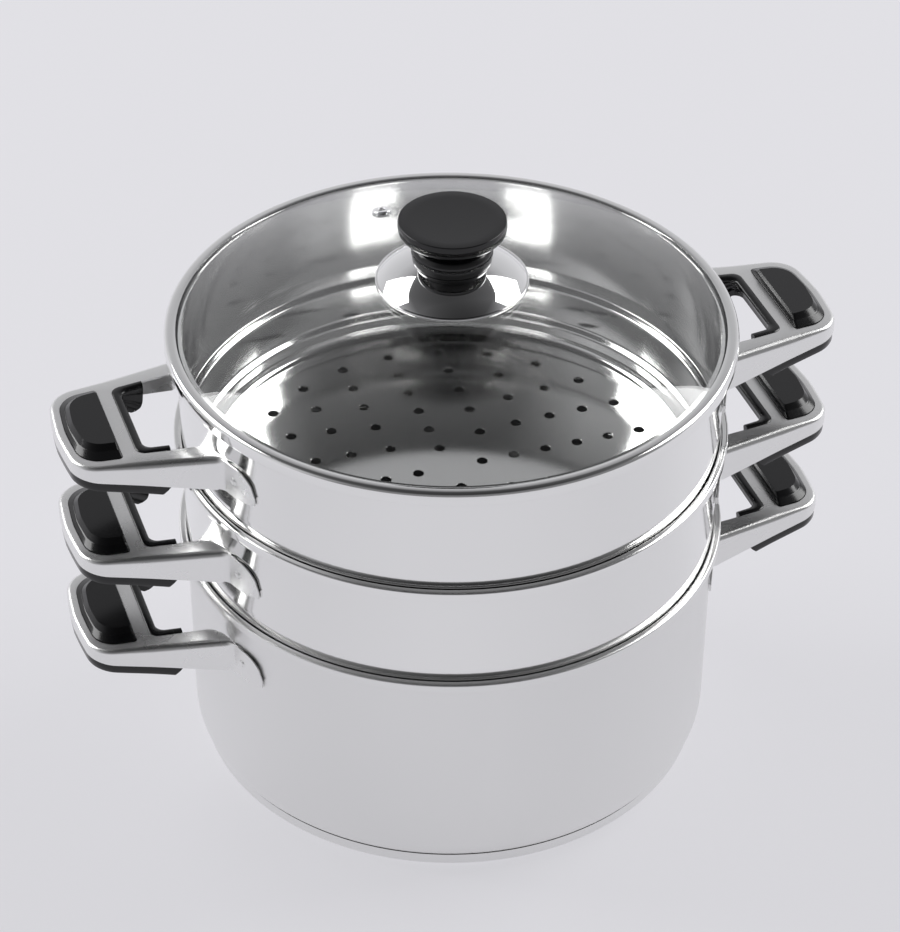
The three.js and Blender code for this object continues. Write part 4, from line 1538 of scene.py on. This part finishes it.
def set_world():
    """Soft light from the back, dark overhead and in front, for the steel to reflect."""
    world = bpy.data.worlds.new("Studio")
    bpy.context.scene.world = world
    world.use_nodes = True
    tree = world.node_tree
    place = node_at(tree, "ShaderNodeTexCoord")
    split = node_at(tree, "ShaderNodeSeparateXYZ")
    ramp = node_at(tree, "ShaderNodeValToRGB")
    stops = ramp.color_ramp.elements
    for height, level in WORLD_LEVELS:
        stops.new(height).color = (level, level, level * WORLD_BLUE, 1)
    stops.remove(stops[0])
    stops.remove(stops[-1])
    front = node_at(tree, "ShaderNodeMapRange", {
        "From Min": -FRONT_DARK_START, "From Max": -FRONT_DARK_FULL,
        "To Min": 1, "To Max": FRONT_LEVEL,
    })
    dimmed = node_at(tree, "ShaderNodeVectorMath", operation="SCALE")
    wire(
        tree,
        (place, "Generated", split, 0),
        (split, "Z", ramp, 0),
        (split, "Y", front, "Value"),
        (ramp, 0, dimmed, 0),
        (front, 0, dimmed, "Scale"),
        (dimmed, 0, tree.nodes["Background"], "Color"),
    )


def set_camera():
    """The camera at its distance from the point that it looks at, rolled about its own axis."""
    camera = bpy.data.cameras.new("Camera")
    camera.lens = VIEW_LENS
    level = direction(VIEW_AZIMUTH) * math.cos(VIEW_ELEVATION)
    back = Vector((level.x, level.y, math.sin(VIEW_ELEVATION)))
    obj = linked("Camera", camera)
    obj.matrix_world = (
        Matrix.Translation(VIEW_TARGET + back * VIEW_DISTANCE)
        @ (-back).to_track_quat("-Z", "Y").to_matrix().to_4x4()
        @ Matrix.Rotation(VIEW_ROLL, 4, "Z")
    )
    bpy.context.scene.camera = obj


class STEAMER_OT_studio(bpy.types.Operator):
    """Make the floor, the lights and the camera"""

    bl_idname = "steamer.studio"
    bl_label = "Make Studio"

    def execute(self, context):
        add_floor(context.scene.steamer_finishes.floor)
        set_world()
        for name, place in LAMP_PLACES.items():
            soft_box(name, place)
        set_camera()
        context.scene.view_settings.view_transform = "Standard"
        return {"FINISHED"}


class STEAMER_PT_panel(bpy.types.Panel):
    """Lists the steps that build the pot"""

    bl_label = "Steamer Pot"
    bl_idname = "STEAMER_PT_panel"
    bl_space_type = "VIEW_3D"
    bl_region_type = "UI"
    bl_category = "Steamer Pot"

    def draw(self, context):
        column = self.layout.column()
        for group in (context.scene.steamer_sizes, context.scene.steamer_finishes):
            for name in group.__annotations__:
                column.prop(group, name)
        for operator in OPERATORS:
            column.operator(operator.bl_idname)


OPERATORS = (
    STEAMER_OT_materials,
    STEAMER_OT_studio,
    STEAMER_OT_pot,
    STEAMER_OT_baskets,
    STEAMER_OT_handles,
    STEAMER_OT_lid,
    STEAMER_OT_knob,
)
CLASSES = (SteamerSizes, SteamerFinishes, *OPERATORS, STEAMER_PT_panel)


def register():
    for cls in CLASSES:
        bpy.utils.register_class(cls)
    bpy.types.Scene.steamer_sizes = bpy.props.PointerProperty(type=SteamerSizes)
    bpy.types.Scene.steamer_finishes = bpy.props.PointerProperty(type=SteamerFinishes)


def unregister():
    del bpy.types.Scene.steamer_finishes
    del bpy.types.Scene.steamer_sizes
    for cls in reversed(CLASSES):
        bpy.utils.unregister_class(cls)


def main():
    register()
    bpy.ops.steamer.materials()
    bpy.ops.steamer.studio()
    bpy.ops.steamer.pot()
    bpy.ops.steamer.baskets()
    bpy.ops.steamer.handles()
    bpy.ops.steamer.lid()
    bpy.ops.steamer.knob()


if __name__ == "__main__":
    main()
